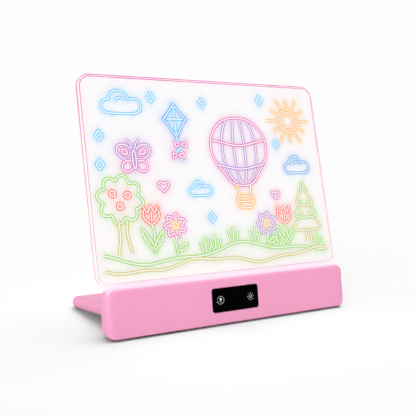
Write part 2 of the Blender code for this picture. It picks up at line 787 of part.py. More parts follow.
holder_front = WALL + GAP
battery_depth = holder_front + BATTERY_HOLDER_WALL + GAP + BATTERY_RADIUS
holder_half_height = BATTERY_RADIUS + GAP + BATTERY_HOLDER_WALL
battery_rise = floor_rise(battery_depth, WALL + GAP) + holder_half_height
holder_left = -(end_boss_x - sleeve_radius - BATTERY_HOLDER_CLEARANCE)
battery_left = holder_left + BATTERY_HOLDER_WALL + GAP
battery_right = battery_left + BATTERY_LENGTH + BATTERY_CAP_HEIGHT


def make_battery(bar, wrap, plastic):
    """Cylindrical cell lying in a half-round holder that is open towards the rear."""
    edge = BATTERY_EDGE_RADIUS
    profile = [
        (BATTERY_RADIUS - edge, 0),
        (BATTERY_RADIUS, edge),
        (BATTERY_RADIUS, BATTERY_LENGTH - edge),
        (BATTERY_RADIUS - edge, BATTERY_LENGTH),
        (BATTERY_CAP_RADIUS, BATTERY_LENGTH),
        (BATTERY_CAP_RADIUS, BATTERY_LENGTH + BATTERY_CAP_HEIGHT),
    ]
    start = (battery_left, battery_depth, battery_rise)
    cell = add_turned(bmesh.new(), start, (battery_right, battery_depth, battery_rise), profile)
    solid("battery_cell", cell, wrap, bar)

    low = (holder_left, holder_front, battery_rise - holder_half_height)
    high = (battery_right + GAP + BATTERY_HOLDER_WALL, battery_depth,
            battery_rise + holder_half_height)
    holder = solid("battery_holder", add_box(bmesh.new(), low, high), plastic, bar)
    trough = add_cylinder(bmesh.new(), (battery_left - GAP, battery_depth, battery_rise),
                          (battery_right + GAP, battery_depth, battery_rise),
                          BATTERY_RADIUS + GAP)
    combine(holder, tool("trough_guide", trough, bar), "DIFFERENCE")


def eased(t):
    return t * t * (3 - 2 * t)


def lead_bow(start, end):
    """Bow of a lead, wider where a short bar brings the touch board's edge near its end."""
    edge = lens_x + TOUCH_LENS_WIDTH / 2 - TOUCH_BOARD_MARGIN
    t = (edge - start.x) / (end.x - start.x)
    clear_depth = TOUCH_BOARD_SETBACK + BOARD_THICKNESS + GAP + LEAD_RADIUS
    needed = (clear_depth - start.lerp(end, eased(t)).y) / math.sin(math.pi * t) ** 2
    return max(LEAD_BOW, needed)


def make_battery_lead(name, offset, bar, sleeve):
    """Lead from the cell's holder to the control board, bowed to the rear round the bosses."""
    rise = control_board_bottom + LEAD_RISE + offset
    start_x = battery_right + GAP + BATTERY_HOLDER_WALL + GAP
    start = Vector((start_x, battery_depth - LEAD_RADIUS - GAP, rise))
    end_depth = CONTROL_BOARD_SETBACK + BOARD_THICKNESS / 2
    end = Vector((control_board_left - GAP, end_depth, rise))
    bow = Vector((0, lead_bow(start, end), 0))
    curve = bpy.data.curves.new(name, "CURVE")
    curve.dimensions = "3D"
    curve.bevel_depth = LEAD_RADIUS
    curve.bevel_resolution = 2
    curve.use_fill_caps = True
    spline = curve.splines.new("POLY")
    spline.points.add(LEAD_POINTS)
    for i, point in enumerate(spline.points):
        t = i / LEAD_POINTS
        place_now = start.lerp(end, eased(t)) + bow * math.sin(math.pi * t) ** 2
        place_now.x = start.x + (end.x - start.x) * t
        point.co = (*place_now, 1)
    curve.materials.append(sleeve)
    item = bpy.data.objects.new(name, curve)
    item.parent = bar
    bpy.context.scene.collection.objects.link(item)
    return item


def make_light(slot, white, fibreglass, lamp):
    """White trough under the slot with the strip and its lamps, facing the tongue's edge."""
    front = -GAP
    rear = PANEL_THICKNESS + GAP
    top = -WALL - CHANNEL_TOP_CLEARANCE
    bottom = channel_floor_rise - CHANNEL_WALL
    section = [
        (front - CHANNEL_WALL, bottom),
        (rear + CHANNEL_WALL, bottom),
        (rear + CHANNEL_WALL, top),
        (rear, top),
        (rear, channel_floor_rise),
        (front, channel_floor_rise),
        (front, top),
        (front - CHANNEL_WALL, top),
    ]
    loops = [[(x, depth, rise) for depth, rise in section] for x in (-channel_half, channel_half)]
    solid("light_channel", loft(bmesh.new(), loops), white, slot)

    middle = PANEL_THICKNESS / 2
    half = LED_STRIP_WIDTH / 2
    low = (-tongue_half, middle - half, strip_rise)
    high = (tongue_half, middle + half, strip_rise + LED_STRIP_THICKNESS)
    solid("led_strip", add_box(bmesh.new(), low, high), fibreglass, slot)

    pitch = 2 * tongue_half / LED_COUNT
    for i in range(LED_COUNT):
        x = -tongue_half + pitch * (i + 0.5)
        low = (x - LED_LENGTH / 2, middle - LED_WIDTH / 2, led_rise)
        high = (x + LED_LENGTH / 2, middle + LED_WIDTH / 2, led_rise + LED_HEIGHT)
        solid(f"led_{i + 1:02d}", add_box(bmesh.new(), low, high), lamp, slot)


def make_housing_screws(bar, steel):
    seat = screw_seat + GAP
    for name, (x, rise) in housing_screw_places().items():
        make_screw("housing_screw_" + name, (x, seat, rise), (x, 0, rise), bar, steel,
                   SCREW_HEAD_RADIUS, SCREW_HEAD_HEIGHT, SCREW_SHANK_RADIUS, SCREW_LENGTH)


def make_base_pads(ground, rubber):
    for name, side in mirrored_sides():
        solid("base_pad_" + name, base_pad_box(bmesh.new(), side), rubber, ground)


def make_hinge_bushes(ground, acetal):
    """Friction sleeves in the lugs, which grip the hinge pins."""
    for name, side in mirrored_sides():
        left = side * lug_x - LUG_WIDTH / 2
        start = (left, hinge_back, HINGE_HEIGHT)
        matrix, length = along(start, (left + LUG_WIDTH, hinge_back, HINGE_HEIGHT))
        bore = PIN_RADIUS + GAP
        profile = [(bush_radius, 0), (bush_radius, length), (bore, length), (bore, 0)]
        loops = [circle(matrix, radius, height) for radius, height in profile]
        solid("hinge_bush_" + name, loft(bmesh.new(), loops, closed=True), acetal, ground)


def foot_loop(from_end, side, shrink=0.0):
    """Section of the foot at a distance from its end: a round root, a round tip, flat between.

    Near the end, the section shrinks as the side rounds off, and its tip draws back as the
    corner of the plan rounds off.
    """
    half = foot_half - shrink
    side_radius = FOOT_SIDE_RADIUS - shrink
    corner_radius = FOOT_CORNER_RADIUS - shrink
    side_lift = max(side_radius - from_end, 0)
    inset = side_radius - math.sqrt(side_radius ** 2 - side_lift ** 2)
    corner_lift = max(corner_radius - from_end, 0)
    draw_back = corner_radius - math.sqrt(corner_radius ** 2 - corner_lift ** 2)
    root = FOOT_ROOT_RADIUS - shrink - inset
    tip = FOOT_TIP_RADIUS - shrink - inset
    reach = FOOT_LENGTH - draw_back + inset
    taper = math.asin((root - tip) / reach)
    x = side * (half - from_end)
    points = []
    arcs = ((0.0, root, math.pi / 2 - taper, 1.5 * math.pi + taper, 12),
            (reach, tip, -math.pi / 2 + taper, math.pi / 2 - taper, 10))
    for centre, radius, first, last, steps in arcs:
        for i in range(steps + 1):
            angle = first + (last - first) * i / steps
            points.append((x, centre + radius * math.cos(angle), radius * math.sin(angle)))
    return points


def foot_block(shrink=0.0):
    """The foot's outer form, or its hollow when shrunk by the wall."""
    corner = FOOT_CORNER_RADIUS - shrink
    side = FOOT_SIDE_RADIUS - shrink
    lifts = [side * (1 - math.cos(math.pi / 2 * i / EDGE_STEPS)) for i in range(EDGE_STEPS + 1)]
    lifts += [side + (corner - side) * share for share in FOOT_CORNER_STEP_SHARES]
    loops = [foot_loop(lift, -1, shrink) for lift in lifts]
    loops += [foot_loop(lift, 1, shrink) for lift in reversed(lifts)]
    return loft(bmesh.new(), loops)


def foot_screw_places():
    places = {}
    for name, side in mirrored_sides():
        x = side * (foot_half - FOOT_SCREW_END_INSET)
        places["rear_" + name] = (x, FOOT_LENGTH - FOOT_SCREW_MARGIN)
        places["front_" + name] = (x, FOOT_SCREW_MARGIN)
    return places


def foot_hollow(hinge):
    """Space between the foot's shells, stopped at the knuckles and round the screw pillars."""
    hollow = tool("foot_hollow_guide", foot_block(FOOT_WALL), hinge)
    keep = bmesh.new()
    for _, side in mirrored_sides():
        centre = side * lug_x
        half = LUG_WIDTH / 2 + LUG_SIDE_CLEARANCE + FOOT_KNUCKLE_WIDTH
        low = (centre - half, -FOOT_ROOT_RADIUS - OVERRUN, -FOOT_ROOT_RADIUS - OVERRUN)
        high = (centre + half, FOOT_ROOT_SOLID, FOOT_ROOT_RADIUS + OVERRUN)
        add_box(keep, low, high)
    for x, reach in foot_screw_places().values():
        start = (x, reach, -FOOT_ROOT_RADIUS - OVERRUN)
        end = (x, reach, FOOT_ROOT_RADIUS + OVERRUN)
        add_cylinder(keep, start, end, sleeve_radius)
    combine(hollow, tool("foot_solids_guide", keep, hinge), "DIFFERENCE")
    return hollow


def foot_notches():
    """Notches in which the bar's lugs stand."""
    bm = bmesh.new()
    for _, side in mirrored_sides():
        centre = side * lug_x
        half = LUG_WIDTH / 2 + LUG_SIDE_CLEARANCE
        back = FOOT_ROOT_RADIUS + HINGE_CLEARANCE
        low = (centre - half, -FOOT_ROOT_RADIUS - OVERRUN, -FOOT_ROOT_RADIUS - OVERRUN)
        add_box(bm, low, (centre + half, back, FOOT_ROOT_RADIUS + OVERRUN))
    return bm


def foot_pin_bores():
    """Blind bores that hold both ends of each pin."""
    bm = bmesh.new()
    for _, side in mirrored_sides():
        centre = side * lug_x
        half = LUG_WIDTH / 2 + LUG_SIDE_CLEARANCE + PIN_ENGAGEMENT + GAP
        add_cylinder(bm, (centre - half, 0, 0), (centre + half, 0, 0), PIN_RADIUS + GAP)
    return bm


def foot_screw_holes():
    """Pockets for the screw heads below, and shank holes up into the top shell's pillars."""
    bm = bmesh.new()
    for x, reach in foot_screw_places().values():
        seat = foot_screw_seat(reach)
        start = seat + FOOT_SCREW_LENGTH + GAP
        end = -FOOT_ROOT_RADIUS - OVERRUN
        add_stepped_hole(bm, (x, reach, start), (x, reach, end), start - seat - GAP,
                         SCREW_SHANK_RADIUS + GAP, SCREW_HEAD_RADIUS + GAP)
    return bm


def foot_underside(reach):
    """Height of the tapered underside at a reach, in the foot's own axes."""
    taper = (FOOT_ROOT_RADIUS - FOOT_TIP_RADIUS) / FOOT_LENGTH
    return -(FOOT_ROOT_RADIUS - taper * reach)


def foot_screw_seat(reach):
    return foot_underside(reach) + FOOT_POCKET_DEPTH


def foot_dish():
    """Shallow dish in the foot's top, inside a round rim, with sloping sides."""
    def outline(margin, height):
        left = -foot_half + margin
        near = margin
        far = FOOT_LENGTH + FOOT_TIP_RADIUS - margin
        radius = FOOT_DISH_CORNER_RADIUS - (margin - FOOT_DISH_MARGIN)
        points = rounded_outline(left, -left, near, far, radius)
        return [(x, reach, height - foot_underside(reach)) for x, reach in points]

    stations = (
        (FOOT_DISH_MARGIN - FOOT_DISH_SLOPE, OVERRUN),
        (FOOT_DISH_MARGIN + FOOT_DISH_SLOPE, -FOOT_DISH_DEPTH),
    )
    return loft(bmesh.new(), [outline(margin, height) for margin, height in stations])


def half_space(upper):
    """Box that keeps the foot's upper or lower half, short of the parting plane."""
    side = foot_half + OVERRUN
    far = FOOT_LENGTH + FOOT_TIP_RADIUS + OVERRUN
    near = -FOOT_ROOT_RADIUS - OVERRUN
    low, high = (GAP / 2, -near) if upper else (near, -GAP / 2)
    return add_box(bmesh.new(), (-side, near, low), (side, far, high))


def foot_pad_box(bm, side, grow=0.0):
    """Level strip under the tip, drawn about the tip's centre on the floor."""
    outer = foot_half - FOOT_PAD_END_INSET
    left, right = sorted((side * outer, side * (outer - FOOT_PAD_LENGTH)))
    half = FOOT_PAD_WIDTH / 2 + grow
    low = (left - grow, -half, -tip_height - grow)
    return add_box(bm, low, (right + grow, half, -tip_height + PAD_THICKNESS + grow))


def make_foot(hinge, tip, plastic, rubber, steel):
    pads = bmesh.new()
    for _, side in mirrored_sides():
        foot_pad_box(pads, side, GAP)
    pad_recess = tool("foot_pad_recess_guide", pads, tip)
    hollow = foot_hollow(hinge)
    notches = tool("foot_notches_guide", foot_notches(), hinge)
    bores = tool("foot_bores_guide", foot_pin_bores(), hinge)
    holes = tool("foot_holes_guide", foot_screw_holes(), hinge)

    for name, upper in (("foot_top_shell", True), ("foot_bottom_shell", False)):
        shell = solid(name, foot_block(), plastic, hinge)
        combine(shell, hollow, "DIFFERENCE")
        combine(shell, tool(name + "_half_guide", half_space(upper), hinge), "INTERSECT")
        combine(shell, notches, "DIFFERENCE")
        combine(shell, bores, "DIFFERENCE")
        combine(shell, holes, "DIFFERENCE")
        if upper:
            combine(shell, tool("foot_dish_guide", foot_dish(), hinge), "DIFFERENCE")
        else:
            combine(shell, pad_recess, "DIFFERENCE")

    for name, side in mirrored_sides():
        solid("foot_pad_" + name, foot_pad_box(bmesh.new(), side), rubber, tip)
    for name, (x, reach) in foot_screw_places().items():
        seat = foot_screw_seat(reach)
        make_screw("foot_screw_" + name, (x, reach, seat), (x, reach, 0), hinge, steel,
                   SCREW_HEAD_RADIUS, SCREW_HEAD_HEIGHT, SCREW_SHANK_RADIUS, FOOT_SCREW_LENGTH)


def make_hinge_pins(hinge, steel):
    """Steel pins through the bushes, held in the foot on both sides of each lug."""
    half = LUG_WIDTH / 2 + LUG_SIDE_CLEARANCE + PIN_ENGAGEMENT
    for name, side in mirrored_sides():
        centre = side * lug_x
        profile = [
            (PIN_RADIUS - PIN_EDGE, 0),
            (PIN_RADIUS, PIN_EDGE),
            (PIN_RADIUS, 2 * half - PIN_EDGE),
            (PIN_RADIUS - PIN_EDGE, 2 * half),
        ]
        pin = add_turned(bmesh.new(), (centre - half, 0, 0), (centre + half, 0, 0), profile)
        solid("hinge_pin_" + name, pin, steel, hinge)


def main():
    clear_scene()
    pink = make_material("pink_plastic", (0.90, 0.37, 0.58), 0.45)
    acrylic = make_material("clear_acrylic", (0.98, 0.96, 0.97), 0.05, transmission=0.9)
    gloss_black = make_material("gloss_black", (0.01, 0.01, 0.01), 0.12)
    white = make_material("white_plastic", (0.90, 0.90, 0.90), 0.5)
    grey = make_material("grey_plastic", (0.25, 0.25, 0.27), 0.5)
    fibreglass = make_material("green_fibreglass", (0.03, 0.20, 0.09), 0.4)
    steel = make_material("plated_steel", (0.70, 0.70, 0.72), 0.25, metallic=1.0)
    acetal = make_material("acetal", (0.85, 0.85, 0.82), 0.35)
    rubber = make_material("grey_rubber", (0.12, 0.12, 0.13), 0.8)
    lamp = make_material("lamp", (1.0, 0.95, 0.75), 0.3)
    wrap = make_material("blue_wrap", (0.05, 0.15, 0.55), 0.35)
    red = make_material("red_sleeve", (0.65, 0.03, 0.03), 0.5)
    black = make_material("black_sleeve", (0.02, 0.02, 0.02), 0.5)

    ground = make_frame("ground", (0, front_y, 0), 0)
    bar = make_frame("bar", (0, front_y, 0), -FRONT_LEAN)
    slot = make_frame("slot", (0, panel_setback, BASE_HEIGHT), -slot_turn, bar)
    hinge = make_frame("hinge", (0, front_y + hinge_back, HINGE_HEIGHT), -foot_slope)
    tip = make_frame("tip", (0, FOOT_LENGTH, 0), foot_slope, hinge)

    make_drawing_panel(slot, acrylic)
    make_front_shell(bar, ground, pink)
    make_rear_shell(bar, slot, ground, pink)
    make_touch_lens(bar, gloss_black)
    make_touch_unit(bar, fibreglass, steel)
    make_control_unit(bar, fibreglass, steel)
    make_battery(bar, wrap, grey)
    make_battery_lead("battery_lead_red", LEAD_SPACING / 2, bar, red)
    make_battery_lead("battery_lead_black", -LEAD_SPACING / 2, bar, black)
    make_light(slot, white, fibreglass, lamp)
    make_housing_screws(bar, steel)
    make_base_pads(ground, rubber)
    make_hinge_bushes(ground, acetal)
    make_hinge_pins(hinge, steel)
    make_foot(hinge, tip, pink, rubber, steel)


main()
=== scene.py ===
"""Looks of the led drawing pad: a clear lit panel in a pink base bar with a foot behind.

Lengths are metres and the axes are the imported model's: x along the bar, y away from the user
and z up. The bar, the panel and the foot each lean, so their shapes are worked out on axes of
their own (x, depth or reach, rise) and then turned into place. The drawing on the panel and
the prints on the window are worked out in millimetres.
"""

import bmesh
import bpy
import numpy as np
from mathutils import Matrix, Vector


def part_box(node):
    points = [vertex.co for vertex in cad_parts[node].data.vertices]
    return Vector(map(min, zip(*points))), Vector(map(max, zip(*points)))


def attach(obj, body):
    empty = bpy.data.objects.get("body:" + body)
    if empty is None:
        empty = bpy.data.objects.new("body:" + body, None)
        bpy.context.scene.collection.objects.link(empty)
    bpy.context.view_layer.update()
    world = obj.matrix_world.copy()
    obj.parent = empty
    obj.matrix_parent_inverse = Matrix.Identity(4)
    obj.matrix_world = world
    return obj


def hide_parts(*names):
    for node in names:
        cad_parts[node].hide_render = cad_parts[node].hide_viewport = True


# Clearance, wall, and how far a cutter runs past the face that it cuts
GAP = 0.0003
WALL = 0.0022
OVERRUN = 0.001

# Leans, and where the bar's front would meet the floor
FRONT_LEAN = np.radians(7.4)
PANEL_LEAN = np.radians(13.7)
FRONT_Y = -0.080633
FLOOR_CLEARANCE = 0.0008

# Base bar
BAR_HALF = 0.1471
BAR_HEIGHT = 0.0511
BAR_DEPTH = 0.0292
SPLIT_DEPTH = 0.0125
BAR_CORNER = 0.0076
BAR_FACE_CORNER = 0.0052
BAR_LOWER_CORNER = 0.0098
FRONT_EDGE = 0.0059
BOTTOM_EDGE_SHARE = 0.0025 / 0.0059
REAR_EDGE = 0.0045
REAR_END = 0.013
SOCKET_HALF_WIDTH = 0.00195
SOCKET_HALF_HEIGHT = 0.0048
SOCKET_CORNER = 0.0019
SOCKET_CUT_HALF = 0.005
SCREW_WELL_RADIUS = 0.0031
HOUSING_WELL_START = 0.0045
HOUSING_WELL_LENGTH = 0.030

# Touch window
WINDOW_WIDTH = 0.057
WINDOW_HEIGHT = 0.0249
WINDOW_THICKNESS = 0.0012
WINDOW_CORNER = 0.0028
WINDOW_CHAMFER = 0.0004
WINDOW_X = -0.0029
WINDOW_RISE = 0.0511 * 0.528
KEY_SPACING = 0.0374

# Hinge
HINGE_HEIGHT = 0.0204
HINGE_CLEARANCE = 0.0010
LUG_X = 0.0862
LUG_WIDTH = 0.014
LUG_SIDE_CLEARANCE = 0.0006
LUG_RADIUS = 0.0078
BUSH_BORE_RADIUS = 0.0043
PIN_BORE_RADIUS = 0.0023
PIN_BORE_HALF = 0.0159

# Foot
FOOT_HALF = 0.1312
FOOT_LENGTH = 0.1169
FOOT_ROOT = 0.0082
FOOT_TIP = 0.0063
FOOT_SIDE = 0.006
FOOT_CORNER = 0.0123
DISH_MARGIN = 0.0058
DISH_START = 0.0105
DISH_DEPTH = 0.0010
PILLAR_RADIUS = 0.0053
PILLAR_HEIGHT = 0.0052
FOOT_WELL_START = 0.0030
FOOT_WELL_LENGTH = 0.012

# Clear panel, its lit lower margin, and the painted reflection of the bright rim in its face
PANEL_WIDTH = 0.300
PANEL_HEIGHT = 0.2166
PANEL_THICKNESS = 0.004
PANEL_SETBACK = 0.0157
PANEL_CORNER = 0.0146
PANEL_LOWER_CORNER = 0.0125
RIM_WIDTH = 0.0020
RIM_DEPTH = 0.0008
TONGUE_DEPTH = 0.014
TONGUE_HALF = 0.1296
TONGUE_CORNER = 0.003
MARGIN_FADE = 0.0008
MARGIN_DROP = 0.7
RIM_LINE_INSET = 0.00275
RIM_LINE_HALF_WIDTH = 0.0007

# Rim's light: its strength, and the heights in metres over which it turns peach and back
RIM_LIGHT = 0.36
RIM_LIGHT_GAIN = 0.59
RIM_LIGHT_POWER = 0.6
RIM_LOSS_RIGHT = 0.28
RIM_LOSS_LEFT = 0.15
PEACH_START = (0.062, 0.085)
PEACH_END = (0.115, 0.155)

# How far the thin layers of light and ink stand in front of the face that carries them
GLOW_SETOFF = 0.00005
MARGIN_SETOFF = 0.000055
RIM_LINE_SETOFF = 0.00006
STROKE_SETOFF = 0.0001
STROKE_STEP = 0.000002
PRINT_SETOFF = 0.00002

# Light and shade painted on the bar and the foot, as depths in metres and as shares, then the
# world's light and the floor's fade
SPILL_DEPTH = 0.0030
SPILL_MORE_AT_ENDS = 0.6
SPILL_MORE_ON_ROUND = 1.6
SPILL_STRENGTH = 0.89
GLINT_STRENGTH = 0.35
BAR_SHADE_TOP = 0.0022
BAR_SHADE_FADE = 0.0010
FOOT_SHADE_DEPTH = 0.0040
FOOT_SHADE = 0.24
GROOVE_WIDTH = 0.0026
GROOVE_SHADE = 0.8
WORLD_LIGHT = 0.30
FLOOR_FADE = (0.26, 0.75)

# Glow in the sheet: (strength, width in mm) of bell curves, its cover, reach and grid
STROKE_GLOWS = ((0.5, 4.2), (0.05, 11.0))
RIM_GLOWS = ((0.14, 7.0), (0.06, 22.0))
GLOW_COVER = 0.6
GLOW_SOONNESS = 1.1
GLOW_LEAST = 0.004
GLOW_REACH = 22
GLOW_COLUMNS = 200
GLOW_ROWS = 145

# Marker lines, in millimetres; the shares run from a band's right edge to its left one
STROKE_HALF_WIDTH = 1.9
STROKE_STEP_ALONG = 0.9
BAND_SHARES = np.linspace(-1, 1, 5)
INKS = {
    "cyan": "4CCBFC",
    "blue": "2FA6F0",
    "gold": "FDB52E",
    "pink": "EA66BA",
    "purple": "BE80D4",
    "green": "9AD856",
    "olive": "CFC95A",
    "red": "FB6248",
}

# Sizes that follow from the ones above
HINGE_BACK = BAR_DEPTH + HINGE_CLEARANCE + FOOT_ROOT
TIP_HEIGHT = FLOOR_CLEARANCE + FOOT_TIP
FOOT_SLOPE = np.arcsin((HINGE_HEIGHT - TIP_HEIGHT) / FOOT_LENGTH)
PANEL_RISE = GAP + PANEL_THICKNESS * np.sin(PANEL_LEAN - FRONT_LEAN)
RIM_SLANT = np.hypot(RIM_WIDTH, RIM_DEPTH)
RIM_SIDE = PANEL_THICKNESS - 2 * RIM_DEPTH
BAR_ORIGIN = np.array([0, FRONT_Y, 0])
HINGE = np.array([0, FRONT_Y + HINGE_BACK, HINGE_HEIGHT])


# Places on the three leaning bodies

def points_of(*coordinates):
    """Points from their coordinates; a single number holds for all of them."""
    return np.stack(np.broadcast_arrays(*coordinates), axis=-1)


def turned(points, origin, lean):
    """Points on leaning axes put into place: turned back about x by the lean, then moved."""
    x, depth, rise = np.moveaxis(np.asarray(points, float), -1, 0)
    y = depth * np.cos(lean) + rise * np.sin(lean)
    z = rise * np.cos(lean) - depth * np.sin(lean)
    return points_of(x, y, z) + origin


def straightened(points, origin, lean):
    """The opposite of turned: points in place, given on the leaning axes."""
    x, y, z = np.moveaxis(np.asarray(points, float) - origin, -1, 0)
    depth = y * np.cos(lean) - z * np.sin(lean)
    rise = y * np.sin(lean) + z * np.cos(lean)
    return points_of(x, depth, rise)


def on_bar(points):
    """From (x, depth behind the leaning front, rise along it)."""
    return turned(points, BAR_ORIGIN, FRONT_LEAN)


SLOT = on_bar((0, PANEL_SETBACK, BAR_HEIGHT))
DEPTH_AXIS = on_bar((0, 1, 0)) - BAR_ORIGIN


def on_panel(points):
    """From (x, depth behind the sheet's face, rise along it from the slot)."""
    return turned(points, SLOT, PANEL_LEAN)


def on_foot(points):
    """From (x, reach behind the hinge, height above the foot's middle plane)."""
    return turned(points, HINGE, FOOT_SLOPE)


FOOT_NORMAL = on_foot((0, 0, 1)) - HINGE


# Mesh building

def bell(distance, width):
    """Bell curve: 1 at no distance and about a third at the width."""
    return np.exp(-(distance / width) ** 2)


def bells(distance, curves):
    """Sum of bell curves that are given by their strengths and widths."""
    return sum(strength * bell(distance, width) for strength, width in curves)


def rounding(radius, distance):
    """Inset of a quarter circle at a distance from the face that it runs into."""
    lift = np.clip(radius - distance, 0, radius)
    return radius - np.sqrt(radius ** 2 - lift ** 2)


def quarter_steps(radius, steps=12):
    """(advance, inset) pairs of a quarter circle that starts square to the advance."""
    angle = np.linspace(0, np.pi / 2, steps + 1)
    return points_of(radius * (1 - np.cos(angle)), radius * (1 - np.sin(angle)))


def round_box(left, right, low, high, radius, steps=12, lower_radius=None):
    """Rectangle whose corners are quarter circles, anticlockwise from the lower right."""
    if lower_radius is None:
        lower_radius = radius
    corner = np.array([lower_radius, radius, radius, lower_radius])[:, None]
    angle = np.radians(np.array([-90, 0, 90, 180])[:, None] + np.linspace(0, 90, steps + 1))
    across = np.array([right, right, left, left])[:, None] + corner * [[-1], [-1], [1], [1]]
    up = np.array([low, high, high, low])[:, None] + corner * [[1], [-1], [-1], [1]]
    return (across + corner * np.cos(angle)).ravel(), (up + corner * np.sin(angle)).ravel()


def skin(rings):
    """Points and faces of the closed surface through rings that have equal counts of points.

    Quads join neighbouring rings, and a flat face closes each end.
    """
    rings = np.asarray(rings, float)
    count, size = rings.shape[:2]
    row = np.arange(count - 1)[:, None] * size
    here = np.arange(size)
    beside = (here + 1) % size
    quads = np.stack([row + here, row + beside, row + size + beside, row + size + here], axis=-1)
    faces = quads.reshape(-1, 4).tolist()
    faces.append(list(range(size))[::-1])
    faces.append(list(range((count - 1) * size, count * size)))
    return rings.reshape(-1, 3), faces


def strip_faces(rows, columns, closed=False):
    """Quads between neighbouring rows of points; a closed strip's last row joins its first.

    Seen from the front, rows follow each other to the right and a row's points run upwards.
    """
    row = np.arange(rows if closed else rows - 1)[:, None] * columns
    here = row + np.arange(columns - 1)
    beyond = (row + columns) % (rows * columns) + np.arange(columns - 1)
    return np.stack([here, beyond, beyond + 1, here + 1], axis=-1).reshape(-1, 4)


def joined(surfaces):
    """Points and faces of several surfaces as those of one."""
    starts = np.cumsum([0] + [len(points) for points, _ in surfaces[:-1]])
    faces = [quads + start for (_, quads), start in zip(surfaces, starts)]
    return np.concatenate([points for points, _ in surfaces]), np.concatenate(faces)


def new_mesh(name, points, faces):
    """Mesh of a surface."""
    mesh = bpy.data.meshes.new(name)
    mesh.from_pydata(points, [], faces)
    return mesh


def add_object(name, data):
    """Object of a mesh, a lamp or a camera, in the scene."""
    item = bpy.data.objects.new(name, data)
    bpy.context.scene.collection.objects.link(item)
    return item


def add_piece(name, points, faces, body, slot, replaced=()):
    """Object of a closed or open surface that rides on a body."""
    piece = add_object(name, new_mesh(name, points, faces))
    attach(piece, body)
    if replaced:
        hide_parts(*replaced)
    return piece


def face_outwards(mesh):
    """Merge doubled points and turn every face of a closed surface outwards."""
    work = bmesh.new()
    work.from_mesh(mesh)
    bmesh.ops.remove_doubles(work, verts=work.verts, dist=1e-6)
    bmesh.ops.recalc_face_normals(work, faces=work.faces)
    work.to_mesh(mesh)
    work.free()


def carve(piece, shapes, operation="DIFFERENCE"):
    """Cut closed shapes out of a piece, or join them to it, and keep the plain mesh."""
    face_outwards(piece.data)
    cutters = []
    for points, faces in shapes:
        cutter = add_object("cutter", new_mesh("cutter", points, faces))
        face_outwards(cutter.data)
        step = piece.modifiers.new("cut", "BOOLEAN")
        step.operation = operation
        step.object = cutter
        cutters.append(cutter)
    graph = bpy.context.evaluated_depsgraph_get()
    piece.data = bpy.data.meshes.new_from_object(piece.evaluated_get(graph))
    piece.data.materials.clear()
    piece.modifiers.clear()
    for cutter in cutters:
        bpy.data.objects.remove(cutter)


def shade(piece, angle=32):
    """Smooth shading with sharp edges kept, and flat faces that stay even up to their rounds."""
    face_outwards(piece.data)
    piece.data.shade_smooth()
    piece.data.set_sharp_from_angle(angle=np.radians(angle))
    even = piece.modifiers.new("even_shading", "WEIGHTED_NORMAL")
    even.keep_sharp = True


def rod(start, end, radius, sides=40):
    """Straight round rod between two points: a circle square to the line at each."""
    axis = (end - start) / np.linalg.norm(end - start)
    first = np.cross(axis, np.eye(3)[np.argmin(np.abs(axis))])
    first /= np.linalg.norm(first)
    second = np.cross(axis, first)
    angle = np.linspace(0, 2 * np.pi, sides, endpoint=False)
    circle = np.cos(angle)[:, None] * first + np.sin(angle)[:, None] * second
    return skin([start + circle * radius, end + circle * radius])


def block(low, high, place):
    """Box between two corners on the axes that a function puts into place."""
    x = np.array([low[0], high[0], high[0], low[0]])
    y = np.array([low[1], low[1], high[1], high[1]])
    return skin([place(points_of(x, y, z)) for z in (low[2], high[2])])


def vertex_places(mesh):
    """Places of a mesh's points, a row for each."""
    places = np.zeros(len(mesh.vertices) * 3)
    mesh.vertices.foreach_get("co", places)
    return places.reshape(-1, 3)


def add_values(mesh, name, values):
    """Attribute of one number for each vertex."""
    attribute = mesh.attributes.new(name, "FLOAT", "POINT")
    attribute.data.foreach_set("value", np.asarray(values, np.float32).ravel())


def add_colours(mesh, name, colours):
    """Attribute of one linear colour with alpha for each vertex."""
    attribute = mesh.attributes.new(name, "FLOAT_COLOR", "POINT")
    attribute.data.foreach_set("color", np.asarray(colours, np.float32).ravel())


def node_box(name):
    """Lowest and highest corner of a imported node."""
    return np.array(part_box(name))


def node_middles(start):
    """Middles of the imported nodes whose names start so."""
    return [node_box(name).mean(axis=0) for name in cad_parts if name.startswith(start)]


# Base bar

def rear_depth(rise, wall=0.0):
    """Depth of the upright rear face, or of a plane a wall in front of it, at a rise."""
    return (BAR_DEPTH - wall - rise * np.sin(FRONT_LEAN)) / np.cos(FRONT_LEAN)


def floor_rise(depth, above=0.0, share=0.0):
    """Rise of the level underside, or of a line above it, where a section of the bar meets it."""
    sine, cosine = np.sin(FRONT_LEAN), np.cos(FRONT_LEAN)
    middle = depth * (1 - share) + share * (BAR_DEPTH - above) / cosine
    return (FLOOR_CLEARANCE + above + middle * sine) / (cosine + share * sine ** 2 / cosine)


def bar_ring(depth, inset=0.0, wall=0.0, share=0.0):
    """Section of the bar at a depth, or at a share of the way from there to the rear face.

    It is a round-cornered box with a level underside. Its ends draw in by a large quarter
    circle, and its top and underside by a small one, as the rear face comes near.
    """
    half = BAR_HALF - wall - inset
    low = floor_rise(depth, wall, share) + inset * BOTTOM_EDGE_SHARE
    top = BAR_HEIGHT - wall - inset
    middle = (low + top) / 2
    tighter = (BAR_CORNER - BAR_FACE_CORNER) * inset / FRONT_EDGE
    x, rise = round_box(-half, half, low, top, BAR_CORNER - wall - tighter,
                        lower_radius=BAR_LOWER_CORNER - wall - inset)
    ahead = (1 - share) * (rear_depth(rise, wall) - depth)
    x = x * (1 - rounding(REAR_END - wall, ahead) / half)
    rise = middle + (rise - middle) * (1 - rounding(REAR_EDGE - wall, ahead) / (top - middle))
    here = depth + share * (rear_depth(rise, wall) - depth)
    return on_bar(points_of(x, here, rise))


